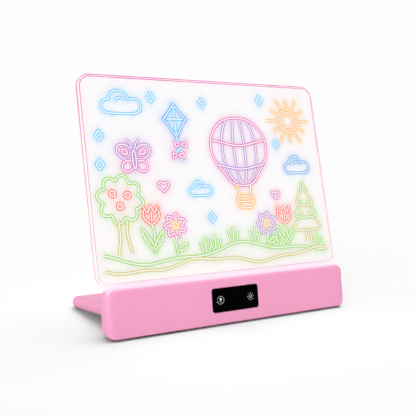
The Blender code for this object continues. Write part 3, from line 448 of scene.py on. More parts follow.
def window_ring(depth, grow):
    """Outline of the touch window at a depth, grown or shrunk all round."""
    half = WINDOW_WIDTH / 2 + grow
    half_height = WINDOW_HEIGHT / 2 + grow
    x, rise = round_box(WINDOW_X - half, WINDOW_X + half, WINDOW_RISE - half_height,
                        WINDOW_RISE + half_height, WINDOW_CORNER + grow)
    return on_bar(points_of(x, depth, rise))


def socket_hole():
    """Opening in the right-hand end for the charging socket, as long as the end wall needs."""
    middle = node_box("usb_c_socket").mean(axis=0) * (0, 1, 1)
    depth, rise = round_box(-SOCKET_HALF_WIDTH, SOCKET_HALF_WIDTH, -SOCKET_HALF_HEIGHT,
                            SOCKET_HALF_HEIGHT, SOCKET_CORNER)
    ends = (BAR_HALF - SOCKET_CUT_HALF, BAR_HALF + SOCKET_CUT_HALF)
    return skin([turned(points_of(x, depth, rise), middle, FRONT_LEAN) for x in ends])


def make_front_housing():
    """Front tub: the flat face with its window recess, the round edges, and the wall inside.

    Its rim stops a quarter of a gap before the rear housing.
    """
    rings = [
        window_ring(WINDOW_THICKNESS + GAP, GAP),
        window_ring(WINDOW_CHAMFER, GAP),
        window_ring(0.0, GAP + WINDOW_CHAMFER),
    ]
    rings += [bar_ring(advance, inset) for advance, inset in quarter_steps(FRONT_EDGE)]
    rim = SPLIT_DEPTH + 0.75 * GAP
    rings += [bar_ring(depth) for depth in np.linspace(FRONT_EDGE, rim, 5)[1:]]
    rings += [bar_ring(rim, wall=WALL)]
    inner = quarter_steps(FRONT_EDGE - WALL, 6)[::-1]
    rings += [bar_ring(WALL + advance, inset, WALL) for advance, inset in inner]
    piece = add_piece("front_housing", *skin(rings), "bar", "pink_plastic", ["front_shell"])
    carve(piece, [socket_hole()])
    shade(piece)
    mark_bar_light(piece)
    return piece


def lug(x):
    """Hinge lug: a round nose about the hinge axis with a straight neck into the rear wall."""
    angle = np.linspace(-np.pi / 2, np.pi / 2, 25)
    root = BAR_DEPTH - WALL / 2 - HINGE_BACK
    y = np.concatenate([[root], LUG_RADIUS * np.cos(angle), [root]])
    z = LUG_RADIUS * np.sin(np.pad(angle, 1, mode="edge"))
    sides = (x - LUG_WIDTH / 2, x + LUG_WIDTH / 2)
    return skin([points_of(side, y, z) + HINGE for side in sides])


def make_rear_housing():
    """Rear tub with the panel's slot, the screw wells and the two hinge lugs."""
    reach = rear_depth(BAR_HEIGHT) - SPLIT_DEPTH
    edge = 1 - quarter_steps(REAR_EDGE)[::-1, 0] / reach
    shares = np.concatenate([np.linspace(0, edge[0], 8, endpoint=False), edge])
    front = SPLIT_DEPTH + GAP
    rings = [bar_ring(front, share=share) for share in shares[::-1]]
    rings += [bar_ring(front, wall=WALL, share=share) for share in shares]
    piece = add_piece("rear_housing", *skin(rings), "bar", "pink_plastic", ["rear_shell"])
    carve(piece, [lug(side * LUG_X) for side in (-1, 1)], "UNION")
    fit = GAP / 3
    cuts = [block((-TONGUE_HALF - fit, -fit, -WALL - OVERRUN),
                  (TONGUE_HALF + fit, PANEL_THICKNESS + fit, OVERRUN), on_panel)]
    half_bore = np.array([LUG_WIDTH / 2 + OVERRUN, 0, 0])
    for side in (-1, 1):
        middle = HINGE + (side * LUG_X, 0, 0)
        cuts.append(rod(middle - half_bore, middle + half_bore, BUSH_BORE_RADIUS))
    for seat in node_middles("housing_screw_"):
        start = seat + DEPTH_AXIS * HOUSING_WELL_START
        cuts.append(rod(start, start + DEPTH_AXIS * HOUSING_WELL_LENGTH, SCREW_WELL_RADIUS))
    carve(piece, cuts)
    shade(piece)
    mark_bar_light(piece)
    return piece


def mark_bar_light(piece):
    """Painted light and shade on the bar: a glow for the panel's light, and the underside's shade.

    The painted glow lies along the bar's top edge. It reaches further down at the ends, most of
    all on the round of the front's edge, where each upper corner has a narrow painted glint as
    well. The painted shade on the underside grows from 2.2 down to 1.2 mm above its level.
    """
    mesh = piece.data
    places = vertex_places(mesh)
    x, depth, rise = straightened(places, BAR_ORIGIN, FRONT_LEAN).T
    near_end = np.clip((np.abs(x) - BAR_HALF + BAR_CORNER) / BAR_CORNER, 0, 1)
    on_round = bell(depth - 0.3 * FRONT_EDGE, 0.35 * FRONT_EDGE)
    more = near_end * (SPILL_MORE_AT_ENDS + SPILL_MORE_ON_ROUND * on_round)
    reach = SPILL_DEPTH * (1 + more)
    share = np.clip((rise - BAR_HEIGHT + reach) / (0.8 * reach), 0, 1)
    painted_spill = share ** 2 * (3 - 2 * share)
    in_corner = np.clip((rise - BAR_HEIGHT + BAR_CORNER) / (0.5 * BAR_CORNER), 0, 1)
    glint = near_end ** 0.5 * bell(depth - 0.36 * FRONT_EDGE, 0.15 * FRONT_EDGE) * in_corner
    above_floor = places[:, 2] - FLOOR_CLEARANCE
    # Painted light: a glow and a glint that stand in for the panel's light; painted shade on the
    # underside
    add_values(mesh, "painted_light_spill", painted_spill)
    add_values(mesh, "light", SPILL_STRENGTH * painted_spill + GLINT_STRENGTH * glint)
    add_values(mesh, "underside", np.clip((BAR_SHADE_TOP - above_floor) / BAR_SHADE_FADE, 0, 1))


def make_touch_window():
    """Black window with a narrow polished chamfer round its face."""
    rings = [
        window_ring(0.0, -WINDOW_CHAMFER / 2),
        window_ring(WINDOW_CHAMFER / 2, 0.0),
        window_ring(WINDOW_THICKNESS, 0.0),
    ]
    piece = add_piece("touch_window", *skin(rings), "bar", "gloss_black", ["touch_lens"])
    shade(piece)
    return piece


# Foot

def foot_face(reach):
    """Height of the foot's tapering upper face over its middle plane, at a reach."""
    return FOOT_ROOT - (FOOT_ROOT - FOOT_TIP) / FOOT_LENGTH * reach


def foot_ring(from_end, side, upper, steps=24):
    """Half of the foot's section at a distance from its end, above or below its middle plane.

    The section is a round root and a round tip joined by straight tapering faces. It shrinks
    by a quarter circle as the side rounds off, and its tip draws back round the plan's corner.
    """
    inset = rounding(FOOT_SIDE, from_end)
    draw_back = rounding(FOOT_CORNER, from_end)
    root = FOOT_ROOT - inset
    tip = FOOT_TIP - inset
    reach = FOOT_LENGTH - draw_back + inset
    taper = np.arcsin((root - tip) / reach)
    near = np.linspace(np.pi, np.pi / 2 - taper, steps)
    far = np.linspace(np.pi / 2 - taper, 0, steps)
    along = np.concatenate([root * np.cos(near), reach + tip * np.cos(far), [reach + tip, -root]])
    up = np.maximum(np.concatenate([root * np.sin(near), tip * np.sin(far)]), GAP / 2)
    up = np.append(up, [GAP / 4, GAP / 4])
    return on_foot(points_of(side * (FOOT_HALF - from_end), along, up if upper else -up))


def foot_half_body(upper):
    """Rings from end to end, closest where the sides and the plan's corners round off."""
    ends = FOOT_SIDE * (1 - np.cos(np.linspace(0, np.pi / 2, 13)))
    ends = np.concatenate([ends, np.linspace(FOOT_SIDE, FOOT_CORNER, 7)[1:]])
    rings = [foot_ring(distance, -1, upper) for distance in ends]
    rings += [foot_ring(distance, 1, upper) for distance in ends[::-1]]
    return skin(rings)


def foot_cavity(upper):
    """Space inside a half: it stops behind the hinge and a wall under the dish's floor."""
    x, reach = round_box(-FOOT_HALF + FOOT_SIDE, FOOT_HALF - FOOT_SIDE, DISH_START + WALL,
                         FOOT_LENGTH - FOOT_SIDE, FOOT_SIDE)
    side = 1 if upper else -1
    heights = (-OVERRUN, foot_face(reach) - WALL - DISH_DEPTH)
    return skin([on_foot(points_of(x, reach, side * height)) for height in heights])


def foot_pillars(upper):
    """Pillars round the four screws, from the parting plane into the outer wall."""
    away = FOOT_NORMAL if upper else -FOOT_NORMAL
    pillars = []
    for middle in node_middles("foot_screw_"):
        parting = middle - FOOT_NORMAL * np.dot(middle - HINGE, FOOT_NORMAL)
        pillars.append(rod(parting + away * GAP, parting + away * PILLAR_HEIGHT, PILLAR_RADIUS))
    return pillars


def foot_dish():
    """Shallow dish inside a rim in the foot's top, whose sides slope and meet it in rounds.

    The levels say how far inwards and how high each of its outlines lies, downwards.
    """
    levels = ((-0.0010, 0.0006), (0.0, 0.0), (0.0006, -0.0004), (0.0014, -0.0008),
              (0.0024, -DISH_DEPTH))
    rings = []
    for inwards, height in levels:
        margin = DISH_MARGIN + inwards
        x, reach = round_box(-FOOT_HALF + margin, FOOT_HALF - margin, DISH_START + inwards,
                             FOOT_LENGTH + FOOT_TIP - margin, FOOT_CORNER - margin)
        rings.append(on_foot(points_of(x, reach, foot_face(reach) + height)))
    return skin(rings)


def hinge_notches():
    """Notches in the foot's root in which the bar's lugs stand."""
    half = LUG_WIDTH / 2 + LUG_SIDE_CLEARANCE
    past = FOOT_ROOT + OVERRUN
    back = FOOT_ROOT + HINGE_CLEARANCE
    return [block((x - half, -past, -past), (x + half, back, past), on_foot)
            for x in (-LUG_X, LUG_X)]


def pin_bores():
    """Bores that hold the hinge pins on both sides of each notch."""
    half = np.array([PIN_BORE_HALF, 0, 0])
    middles = [HINGE + (x, 0, 0) for x in (-LUG_X, LUG_X)]
    return [rod(middle - half, middle + half, PIN_BORE_RADIUS) for middle in middles]


def foot_bottom_cuts():
    """Wells over the screw heads, and seats that leave the pads a narrow gap."""
    cuts = []
    for middle in node_middles("foot_screw_"):
        start = middle - FOOT_NORMAL * FOOT_WELL_START
        cuts.append(rod(start, start - FOOT_NORMAL * FOOT_WELL_LENGTH, SCREW_WELL_RADIUS))
    for name in ("foot_pad_left", "foot_pad_right"):
        low, high = node_box(name)
        cuts.append(block(low - GAP, high + GAP, np.asarray))
    return cuts


def make_foot_shells():
    """Upper shell with the dish, and lower shell with the screw wells and pad seats."""
    covers = []
    for name, upper in (("foot_top", True), ("foot_bottom", False)):
        piece = add_piece(name + "_cover", *foot_half_body(upper), "foot", "pink_plastic",
                          [name + "_shell"])
        carve(piece, [foot_cavity(upper)])
        carve(piece, foot_pillars(upper), "UNION")
        own_cuts = [foot_dish()] if upper else foot_bottom_cuts()
        carve(piece, hinge_notches() + pin_bores() + own_cuts)
        mark_foot_shade(piece)
        shade(piece)
        covers.append(piece)
    return covers


def mark_foot_shade(piece):
    """Painted shade in the groove inside the foot's rim, a bell curve across it, and on the
    underside.

    The underside's share grows from the foot's middle plane down to 4 mm below it.
    """
    x, _, above = straightened(vertex_places(piece.data), HINGE, FOOT_SLOPE).T
    # Painted shade: darker in the groove and on the foot's underside
    groove = bell(FOOT_HALF - np.abs(x) - DISH_MARGIN, GROOVE_WIDTH) * (above > 0)
    add_values(piece.data, "groove", GROOVE_SHADE * groove)
    add_values(piece.data, "underside", FOOT_SHADE * np.clip(-above / FOOT_SHADE_DEPTH, 0, 1))


# Drawing panel

def sheet_outline(inset, steps):
    """The sheet's round-cornered outline, drawn in by an inset, without its tongue."""
    half = PANEL_WIDTH / 2 - inset
    return round_box(-half, half, PANEL_RISE + inset, PANEL_RISE + PANEL_HEIGHT - inset,
                     PANEL_CORNER - inset, steps, PANEL_LOWER_CORNER - inset)


def panel_ring(depth, inset, steps=16):
    """Outline of the sheet at a depth with the narrower tongue that drops into the slot."""
    x, rise = sheet_outline(inset, steps)
    root = TONGUE_HALF - inset
    tongue_x, tongue_rise = round_box(-root, root, PANEL_RISE - TONGUE_DEPTH + inset, PANEL_RISE,
                                      TONGUE_CORNER, steps)
    lower_left, lower_right = slice(3 * (steps + 1), None), slice(steps + 1)
    x = np.concatenate([x, [-root], tongue_x[lower_left], tongue_x[lower_right], [root]])
    foot = [PANEL_RISE + inset]
    rise = np.concatenate([rise, foot, tongue_rise[lower_left], tongue_rise[lower_right], foot])
    return points_of(x, depth, rise)


def make_panel():
    """Sheet with bevelled rims; each point knows how far across the rim it lies, in mm.

    The faces between the outlines are the lit edge, and the front and the back stay clear.
    """
    stations = [(0.0, RIM_WIDTH), (RIM_DEPTH, 0.0), (PANEL_THICKNESS - RIM_DEPTH, 0.0),
                (PANEL_THICKNESS, RIM_WIDTH)]
    rings = np.array([panel_ring(depth, inset) for depth, inset in stations])
    piece = add_piece("clear_panel", *skin(on_panel(rings)), "panel", "clear_acrylic",
                      ["drawing_panel"])
    mesh = piece.data
    across = np.array([0, RIM_SLANT, RIM_SLANT + RIM_SIDE, 2 * RIM_SLANT + RIM_SIDE]) * 1000
    x, _, rise = rings[1].T
    above_tongue = rise > PANEL_RISE - OVERRUN / 10
    add_values(mesh, "across", np.repeat(across, len(x)))
    add_values(mesh, "pink_start", np.tile(pink_start(x, rise), len(stations)))
    add_values(mesh, "rim_strength", np.tile(rim_fade(x, rise) * above_tongue, len(stations)))
    corners = np.zeros(len(mesh.polygons), np.int32)
    mesh.polygons.foreach_get("loop_total", corners)
    mesh.polygons.foreach_set("material_index", (corners == 4).astype(np.int32))
    face_outwards(mesh)
    return piece


def rim_normal(x, rise):
    """Direction in which the sheet's outline faces: level on its sides, turning at its corners."""
    height = rise - PANEL_RISE - PANEL_HEIGHT / 2
    out_x = np.clip((np.abs(x) - PANEL_WIDTH / 2 + PANEL_CORNER) / PANEL_CORNER, 0, 1)
    out_rise = np.clip((np.abs(height) - PANEL_HEIGHT / 2 + PANEL_CORNER) / PANEL_CORNER, 0, 1)
    return out_x * np.sign(x), out_rise * np.sign(height)


def pink_start(x, rise):
    """Where across the rim, in mm from its inner line, the painted white highlight gives way to
    pink.

    It keeps to the flat edge on the left and covers more of the bevel the more a side turns
    from there, in step with the cosine of the turn.
    """
    out_x, out_rise = rim_normal(x, rise)
    turned_away = 1 + out_x + 0.32 * out_rise
    return RIM_SLANT * 1000 * (0.84 - 0.35 * turned_away)


def rim_fade(x, rise):
    """Strength of the rim's pink: most along the top, least at the lower right."""
    level = np.clip((rise - PANEL_RISE) / PANEL_HEIGHT, 0, 1)
    out_x, _ = rim_normal(x, rise)
    loss = np.where(out_x > 0, RIM_LOSS_RIGHT, RIM_LOSS_LEFT) * np.abs(out_x)
    return (RIM_LIGHT + RIM_LIGHT_GAIN * level ** RIM_LIGHT_POWER) * (1 - loss)


def make_rim_line():
    """Painted reflection of the lit rim: a closed flat band round the face, a little inside its
    bevel.

    It lies between two insets of the sheet's outline, the outer one first.
    """
    insets = RIM_LINE_INSET + BAND_SHARES * RIM_LINE_HALF_WIDTH
    x, rise = np.transpose([sheet_outline(inset, 20) for inset in insets], (1, 2, 0))
    points = on_panel(points_of(x, -RIM_LINE_SETOFF, rise))
    faces = strip_faces(*x.shape, closed=True)
    piece = add_piece("painted_rim_reflection", points.reshape(-1, 3), faces, "panel", "clear_acrylic")
    add_values(piece.data, "across", np.tile(np.abs(BAND_SHARES), len(x)))
    add_values(piece.data, "rim_strength", rim_fade(x, rise))
    return piece


def make_root_band():
    """Lit lower margin of the sheet: a pale strip between the slot and the rim's line."""
    top = PANEL_RISE + RIM_LINE_INSET
    x = np.linspace(-TONGUE_HALF - RIM_WIDTH, TONGUE_HALF + RIM_WIDTH, 60)
    x, rise = np.meshgrid(x, [top, top - MARGIN_FADE, -PANEL_RISE * MARGIN_DROP])
    points = on_panel(points_of(x, -MARGIN_SETOFF, rise))
    faces = strip_faces(*x.shape)
    piece = add_piece("lit_root_band", points.reshape(-1, 3), faces, "panel", "clear_acrylic")
    add_values(piece.data, "cover_share", rise < top)
    return piece


# Marker drawing: strokes are (ink, points) pairs, in millimetres

def linear(hex_colour):
    """sRGB hex colour as linear values, by the standard's power curve with its straight foot."""
    value = np.array([int(hex_colour[i:i + 2], 16) for i in (0, 2, 4)]) / 255
    return np.where(value <= 0.04045, value / 12.92, ((value + 0.055) / 1.055) ** 2.4)


def rgba(hex_colour):
    """sRGB hex colour as four linear values that are fully opaque."""
    return (*linear(hex_colour), 1.0)


def arc(x, y, width, height, first=0, last=360, tilt=0):
    """Part of an ellipse between two angles, in degrees, turned by a tilt about its centre."""
    count = max(int(abs(last - first) * np.sqrt(width * height) / 200), 12)
    angle = np.radians(np.linspace(first, last, count))
    a, b = width / 2 * np.cos(angle), height / 2 * np.sin(angle)
    turn = np.radians(tilt)
    return points_of(x + a * np.cos(turn) - b * np.sin(turn),
                     y + a * np.sin(turn) + b * np.cos(turn))


def curve(points, closed=False, steps=10):
    """Smooth curve through points: a Catmull-Rom spline, cubic between each pair."""
    points = np.asarray(points, float)
    if closed:
        padded = np.concatenate([points[-1:], points, points[:2]])
    else:
        ends = 2 * points[[0, -1]] - points[[1, -2]]
        padded = np.concatenate([ends[:1], points, ends[1:]])
    t = np.linspace(0, 1, steps, endpoint=False)[:, None]
    p0, p1, p2, p3 = (padded[i:len(padded) - 3 + i][:, None] for i in range(4))
    line = 0.5 * (2 * p1 + (p2 - p0) * t + (2 * p0 - 5 * p1 + 4 * p2 - p3) * t ** 2
                  + (3 * p1 - p0 - 3 * p2 + p3) * t ** 3)
    return np.concatenate([line.reshape(-1, 2), padded[-2:-1]])


def petals(y, radius, depth, lobes, tilt=0.0):
    """Closed outline of round lobes: a circle that swells by the size of a sine between cusps."""
    angle = np.linspace(0, 2 * np.pi, 14 * lobes + 1)
    size = radius + depth * np.abs(np.sin(lobes * angle / 2))
    return points_of(size * np.cos(angle + tilt), y + size * np.sin(angle + tilt))


def rays(count, inner, outers):
    """Straight rays evenly round a middle, whose outer ends take turns at the given radii."""
    lines = []
    for number in range(count):
        angle = 2 * np.pi * number / count
        way = np.array([np.cos(angle), np.sin(angle)])
        lines.append(curve([way * inner, way * outers[number % len(outers)]]))
    return lines


def moved(strokes, x, y, size=1.0):
    """Strokes scaled about their own middle and moved to a place."""
    return [(ink, np.asarray(line) * size + (x, y)) for ink, line in strokes]


def balloon():
    """Striped hot-air balloon: envelope, seams, two bands, ropes and a basket."""
    envelope = [(0, 42), (21, 37), (35, 20), (36, 0), (25, -19), (11, -34), (-11, -34),
                (-25, -19), (-36, 0), (-35, 20), (-21, 37)]
    strokes = [("pink", curve(envelope, closed=True))]
    rise = np.linspace(-34, 42, 30)
    belly = np.sqrt(np.clip(1 - ((rise - 6) / 42) ** 2, 0, 1)) * 36
    for share in (-0.62, -0.2, 0.2, 0.62):
        strokes.append(("purple", points_of(share * belly, rise)[1:-2]))
    return strokes + [
        ("purple", curve([(-30, -12), (0, -17), (30, -12)])),
        ("pink", curve([(-33, 16), (0, 10), (33, 16)])),
        ("gold", curve([(-9, -36), (-7, -48)])),
        ("gold", curve([(9, -36), (7, -48)])),
        ("gold", curve([(-9, -49), (9, -49), (7.5, -60), (-7.5, -60)], closed=True)),
        ("gold", curve([(-8, -54), (8, -54)])),
    ]


def sun():
    """Sun: two rings and twelve rays, long and short in turn."""
    lines = [arc(0, 0, 28, 28), arc(0, 0, 16, 16)] + rays(12, 18.5, (28.0, 24.5))
    return [("gold", line) for line in lines]


def cloud(ink):
    """Cloud: three round puffs over a flat base, with one curl inside."""
    puffs = np.concatenate([arc(-14, -1, 17, 15, 240, 90), arc(-3, 6, 22, 20, 177, 4),
                            arc(13, 0, 18, 16, 124, -60)])
    outline = np.concatenate([puffs, [(12, -8.6), (-12, -8.6)], puffs[:1]])
    return [(ink, outline), (ink, arc(-1, 3, 12, 11, 150, 50))]


def kite():
    """Diamond kite with cross spars and a tail with two bows."""
    corners = [(0, 19), (13, 3), (0, -17), (-13, 3), (0, 19)]
    strokes = [("blue", curve(corners[i:i + 2])) for i in range(4)]
    strokes.append(("cyan", curve([(0, 15), (0, -13)])))
    strokes.append(("cyan", curve([(-9, 3), (9, 3)])))
    strokes.append(("cyan", curve([(0, -20), (5, -27), (-2, -34), (4, -42)])))
    for bow in ((4, -25), (0, -37)):
        for side in (-1, 1):
            wing = [(0, 0), (6.5 * side, 3), (6.5 * side, -3), (0, 0)]
            strokes += moved([("pink", wing)], *bow)
    return strokes


def butterfly():
    """Butterfly: two pairs of round wings about a slim body, with feelers."""
    strokes = []
    for side in (-1, 1):
        strokes.append(("purple", arc(side * 10, 7, 19, 14, tilt=side * 35)))
        strokes.append(("pink", arc(side * 8, -8, 13, 11, tilt=-side * 35)))
        strokes.append(("pink", arc(side * 10, 7, 7, 5, tilt=side * 35)))
        strokes.append(("purple", curve([(side, 9), (side * 3, 15), (side * 6, 19)])))
    strokes.append(("purple", arc(0, -1, 4, 20)))
    return strokes


def tulip(top):
    """Tulip: a cup with three points, its middle at the top, on a bent stem with two leaves."""
    leaf = top * 0.55
    return [
        ("red", curve([(-8, top + 9), (-8.5, top - 2), (0, top - 9), (8.5, top - 2),
                       (8, top + 9)])),
        ("red", curve([(-8, top + 9), (-4, top + 3), (0, top + 10), (4, top + 3), (8, top + 9)])),
        ("red", curve([(0, top - 5), (0, top + 1)])),
        ("green", curve([(0, top - 11), (1.5, top / 2), (0, 0)])),
        ("green", curve([(0, 2), (-9, leaf * 0.6), (-12, leaf + 4), (-4, leaf * 0.7), (0, 5)])),
        ("green", curve([(1, 3), (9, leaf * 0.5), (11, leaf), (4, leaf * 0.6), (1, 7)])),
    ]


def daisy(top, ink):
    """Daisy: seven petals round a golden heart, on a stem with one leaf."""
    return [
        (ink, petals(top, 7.5, 5.0, 7)),
        ("gold", arc(0, top, 6.5, 6.5)),
        ("green", curve([(0, top - 13), (-1.5, top / 2 - 4), (0, 0)])),
        ("green", curve([(0, 4), (7, 10), (12, 9), (7, 4), (0, 4)])),
    ]


def apple_tree():
    """Apple tree: a crown of eight round puffs, a flared trunk and three apples."""
    strokes = [("green", petals(54, 19, 6, 8, 0.2))]
    for side in (-1, 1):
        strokes.append(("olive", curve([(side * 4.5, 31), (side * 4, 16), (side * 7, 0)])))
    for x, y in ((-8, 60), (8, 58), (-1, 47)):
        strokes.append(("red", arc(x, y, 6, 6)))
    return strokes


def fir():
    """Fir tree: three tiers that widen downwards, a pointed top and a short trunk."""
    strokes = []
    for ink, low, half, high in (("olive", 14, 19, 36), ("green", 29, 15, 49),
                                 ("olive", 43, 11, 63)):
        strokes.append((ink, curve([(-half * 0.3, high - 4), (-half, low), (0, low - 3),
                                    (half, low), (half * 0.3, high - 4)])))
    strokes.append(("green", curve([(-3.2, 58), (0, 68), (3.2, 58)])))
    for x in (-3, 3):
        strokes.append(("olive", curve([(x, 10), (x, 0)])))
    return strokes


def heart(size):
    """Heart: a sine cubed across, and a sum of three cosines upwards."""
    angle = np.linspace(0, 2 * np.pi, 40)
    a = np.sin(angle) ** 3
    b = 0.81 * np.cos(angle) - 0.31 * np.cos(2 * angle) - 0.13 * np.cos(3 * angle)
    return [("pink", size * points_of(a, b))]


def spark():
    """Small spark: a four-pointed outline with hollow sides, from squared cosine and sine."""
    angle = np.linspace(0, 2 * np.pi, 41)
    a = np.sign(np.cos(angle)) * np.cos(angle) ** 2
    b = np.sign(np.sin(angle)) * np.sin(angle) ** 2
    return [("cyan", points_of(4.2 * a, 5.25 * b))]


def hill(x):
    """Height of the far hill's line: a long wave and a short one."""
    return 25 + 6 * np.sin(x / 31 + 0.8) + 2.5 * np.sin(x / 13)


def meadow():
    """Two hill lines across the panel and a few tufts of three blades of grass."""
    x = np.linspace(-138, 138, 120)
    near_hill = 15 + 4 * np.sin(x / 24 + 2.6) + 1.5 * np.sin(x / 9)
    strokes = [("green", points_of(x, hill(x))), ("olive", points_of(x, near_hill))]
    for tuft in (-24, -12, 12, 40, 70, 128):
        root = hill(tuft) + 4
        for foot, tip, height in ((-4, -6, 9), (0, 0.5, 13), (4, 7, 8)):
            strokes.append(("green", curve([(tuft + foot, root), (tuft + tip, root + height)])))
    return strokes


def drawing():
    """All strokes of the picture, from the middle of the panel's lower edge."""
    motifs = [
        (meadow(), 0, 0),
        (balloon(), 34, 132),
        (sun(), 108, 172),
        (cloud("cyan"), -104, 184),
        (cloud("blue"), 112, 116, 0.8),
        (cloud("cyan"), -22, 92, 0.62),
        (kite(), -44, 168),
        (butterfly(), -96, 128),
        (apple_tree(), -116, 32),
        (tulip(38), -84, 30),
        (daisy(30, "pink"), -58, 26),
        (tulip(34), 84, 26),
        (fir(), 116, 30),
        (daisy(26, "purple"), 58, 26),
        (heart(6), -66, 98),
        (heart(5), 76, 84),
    ]
    motifs += [(spark(), x, y) for x, y in ((-132, 152), (-8, 190), (-70, 194), (86, 144),
                                            (-134, 122), (-12, 62), (70, 196))]
    return [stroke for motif in motifs for stroke in moved(*motif)]


def to_the_left(direction):
    """Steps of one length that are square to directions, on their left."""
    length = np.maximum(np.linalg.norm(direction, axis=1), 1e-9)[:, None]
    return points_of(-direction[:, 1], direction[:, 0]) / length


def stroke_band(line, setoff):
    """Flat band along a line, with round ends: offsets to both sides square to its direction."""
    length = np.append(0, np.cumsum(np.linalg.norm(np.diff(line, axis=0), axis=1)))
    closed = np.linalg.norm(line[0] - line[-1]) < 0.01
    even = np.linspace(0, length[-1], max(int(length[-1] / STROKE_STEP_ALONG), 4) + 1)
    line = np.stack([np.interp(even, length, line[:, i]) for i in (0, 1)], axis=-1)
    if closed:
        line = line[:-1]
        direction = np.roll(line, -1, axis=0) - np.roll(line, 1, axis=0)
        width = np.full(len(line), STROKE_HALF_WIDTH)
    else:
        first, last = line[0] - line[1], line[-1] - line[-2]
        out = np.array([1.0, 0.92, 0.75, 0.5, 0.25])[:, None] * STROKE_HALF_WIDTH
        start = line[0] + out * first / np.linalg.norm(first)
        end = line[-1] + out[::-1] * last / np.linalg.norm(last)
        cap = np.sqrt(np.clip(STROKE_HALF_WIDTH ** 2 - out[:, 0] ** 2, 0.0025, None))
        width = np.concatenate([cap, np.full(len(line), STROKE_HALF_WIDTH), cap[::-1]])
        line = np.concatenate([start, line, end])
        direction = np.gradient(line, axis=0)
    offset = BAND_SHARES[:, None] * width[:, None, None]
    flat = line[:, None] + to_the_left(direction)[:, None] * offset
    x, rise = np.moveaxis(flat, -1, 0) / 1000
    points = points_of(x, -setoff, rise + PANEL_RISE)
    return points.reshape(-1, 3), strip_faces(*x.shape, closed=closed)


def make_strokes(strokes):
    """Marker lines on the panel's front, each a little above the one before it."""
    bands = [stroke_band(line, STROKE_SETOFF + number * STROKE_STEP)
             for number, (_, line) in enumerate(strokes)]
    points, faces = joined(bands)
    piece = add_piece("neon_strokes", on_panel(points), faces, "panel", "clear_acrylic")
    across = np.tile(np.abs(BAND_SHARES), len(points) // len(BAND_SHARES))
    inks = [rgba(INKS[ink]) for ink, _ in strokes]
    add_values(piece.data, "across", across)
    add_colours(piece.data, "ink", np.repeat(inks, [len(band) for band, _ in bands], axis=0))
    piece.data.shade_smooth()
    return piece


def glow_of_strokes(grid, strokes):
    """Amount and summed colour of the light round the strokes at each point of a grid.

    Each stroke gives a narrow and a wide bell curve of the distance to it.
    """
    total = np.zeros(len(grid))
    tint = np.zeros((len(grid), 3))
    for ink, line in strokes:
        low, high = line.min(axis=0) - GLOW_REACH, line.max(axis=0) + GLOW_REACH
        near = np.flatnonzero(((grid > low) & (grid < high)).all(axis=1))
        step = np.linalg.norm(np.diff(line, axis=0), axis=1).mean()
        thin = line[::max(int(1.5 / max(step, 0.1)), 1)]
        distance = np.linalg.norm(grid[near][:, None] - thin, axis=2).min(axis=1)
        weight = bells(distance, STROKE_GLOWS)
        total[near] += weight
        tint[near] += weight[:, None] * linear(INKS[ink])
    return total, tint


def make_glow(strokes):
    """Sheet of light round the strokes and inside the rim, which fades with the distance.

    Its cover nears its greatest value as one less an exponential of the light that adds up.
    """
    half_width, height = PANEL_WIDTH * 500, PANEL_HEIGHT * 1000
    margin, corner = RIM_WIDTH * 1000, PANEL_CORNER * 1000
    x = np.linspace(margin - half_width, half_width - margin, GLOW_COLUMNS)
    y = np.linspace(margin, height - margin, GLOW_ROWS)
    grid = np.stack(np.meshgrid(x, y, indexing="ij"), axis=-1).reshape(-1, 2)
    x, y = grid.T
    total, tint = glow_of_strokes(grid, strokes)
    to_rim = np.minimum(half_width - np.abs(x), np.minimum(y, height - y))
    rim = bells(to_rim, RIM_GLOWS)
    level = (y / height)[:, None]
    tint += rim[:, None] * (level * linear("FBD0E6") + (1 - level) * linear("FFDCC8"))
    total += rim
    off_corner = np.maximum(np.abs(x) - (half_width - corner), 0)
    up_corner = np.maximum(np.abs(y - height / 2) - (height / 2 - corner), 0)
    inside = np.hypot(off_corner, up_corner) < corner - margin - 0.2
    strength = GLOW_COVER * (1 - np.exp(-GLOW_SOONNESS * total)) * inside
    faces = strip_faces(GLOW_COLUMNS, GLOW_ROWS)
    faces = faces[strength[faces].max(axis=1) > GLOW_LEAST]
    used, faces = np.unique(faces, return_inverse=True)
    points = points_of(x / 1000, -GLOW_SETOFF, y / 1000 + PANEL_RISE)
    piece = add_piece("neon_glow", on_panel(points[used]), faces.reshape(-1, 4), "panel",
                      "clear_acrylic")
    colour = tint / np.maximum(total, 1e-6)[:, None]
    add_colours(piece.data, "ink", np.insert(colour, 3, 1.0, axis=1)[used])
    add_values(piece.data, "strength", strength[used])
    piece.data.shade_smooth()
    return piece


# Prints on the touch window, in millimetres from its middle

def print_band(line, half_width):
    """Band along a printed line: offsets to both sides square to its direction."""
    square = to_the_left(np.gradient(line, axis=0)) * half_width
    flat = np.stack([line - square, line + square], axis=1)
    return flat.reshape(-1, 2), strip_faces(len(line), 2)


def window_icons():
    """A lamp inside a turning arrow on the left key, and a shining sun on the right key."""
    left = np.array([-KEY_SPACING / 2 * 1000, 0.0])
    lamp = [
        (arc(0, 0, 8.2, 8.2, -150, 165), 0.13),
        (curve([(-4.6, -1.7), (-3.9, -1.1), (-3.4, -1.9)]), 0.16),
        (arc(0, 0.8, 2.0, 2.3, -60, 240), 0.34),
        (arc(0, 0.8, 0.8, 1.0), 0.45),
        (curve([(-0.6, -1.4), (0.6, -1.4)]), 0.22),
        (curve([(-0.4, -2.1), (0.4, -2.1)]), 0.20),
    ]
    shine = [(arc(0, 0, 2.8, 2.8), 0.18)] + [(ray, 0.20) for ray in rays(8, 2.9, (4.3,))]
    return ([print_band(line + left, half_width) for line, half_width in lamp]
            + [print_band(line - left, half_width) for line, half_width in shine])


def make_prints():
    """The two icons as one thin layer of ink on the window."""
    flat, faces = joined(window_icons())
    x, rise = flat.T / 1000
    points = points_of(x + WINDOW_X, -PRINT_SETOFF, rise + WINDOW_RISE)
    return add_piece("window_prints", on_bar(points), faces, "bar", "gloss_black")


# Materials

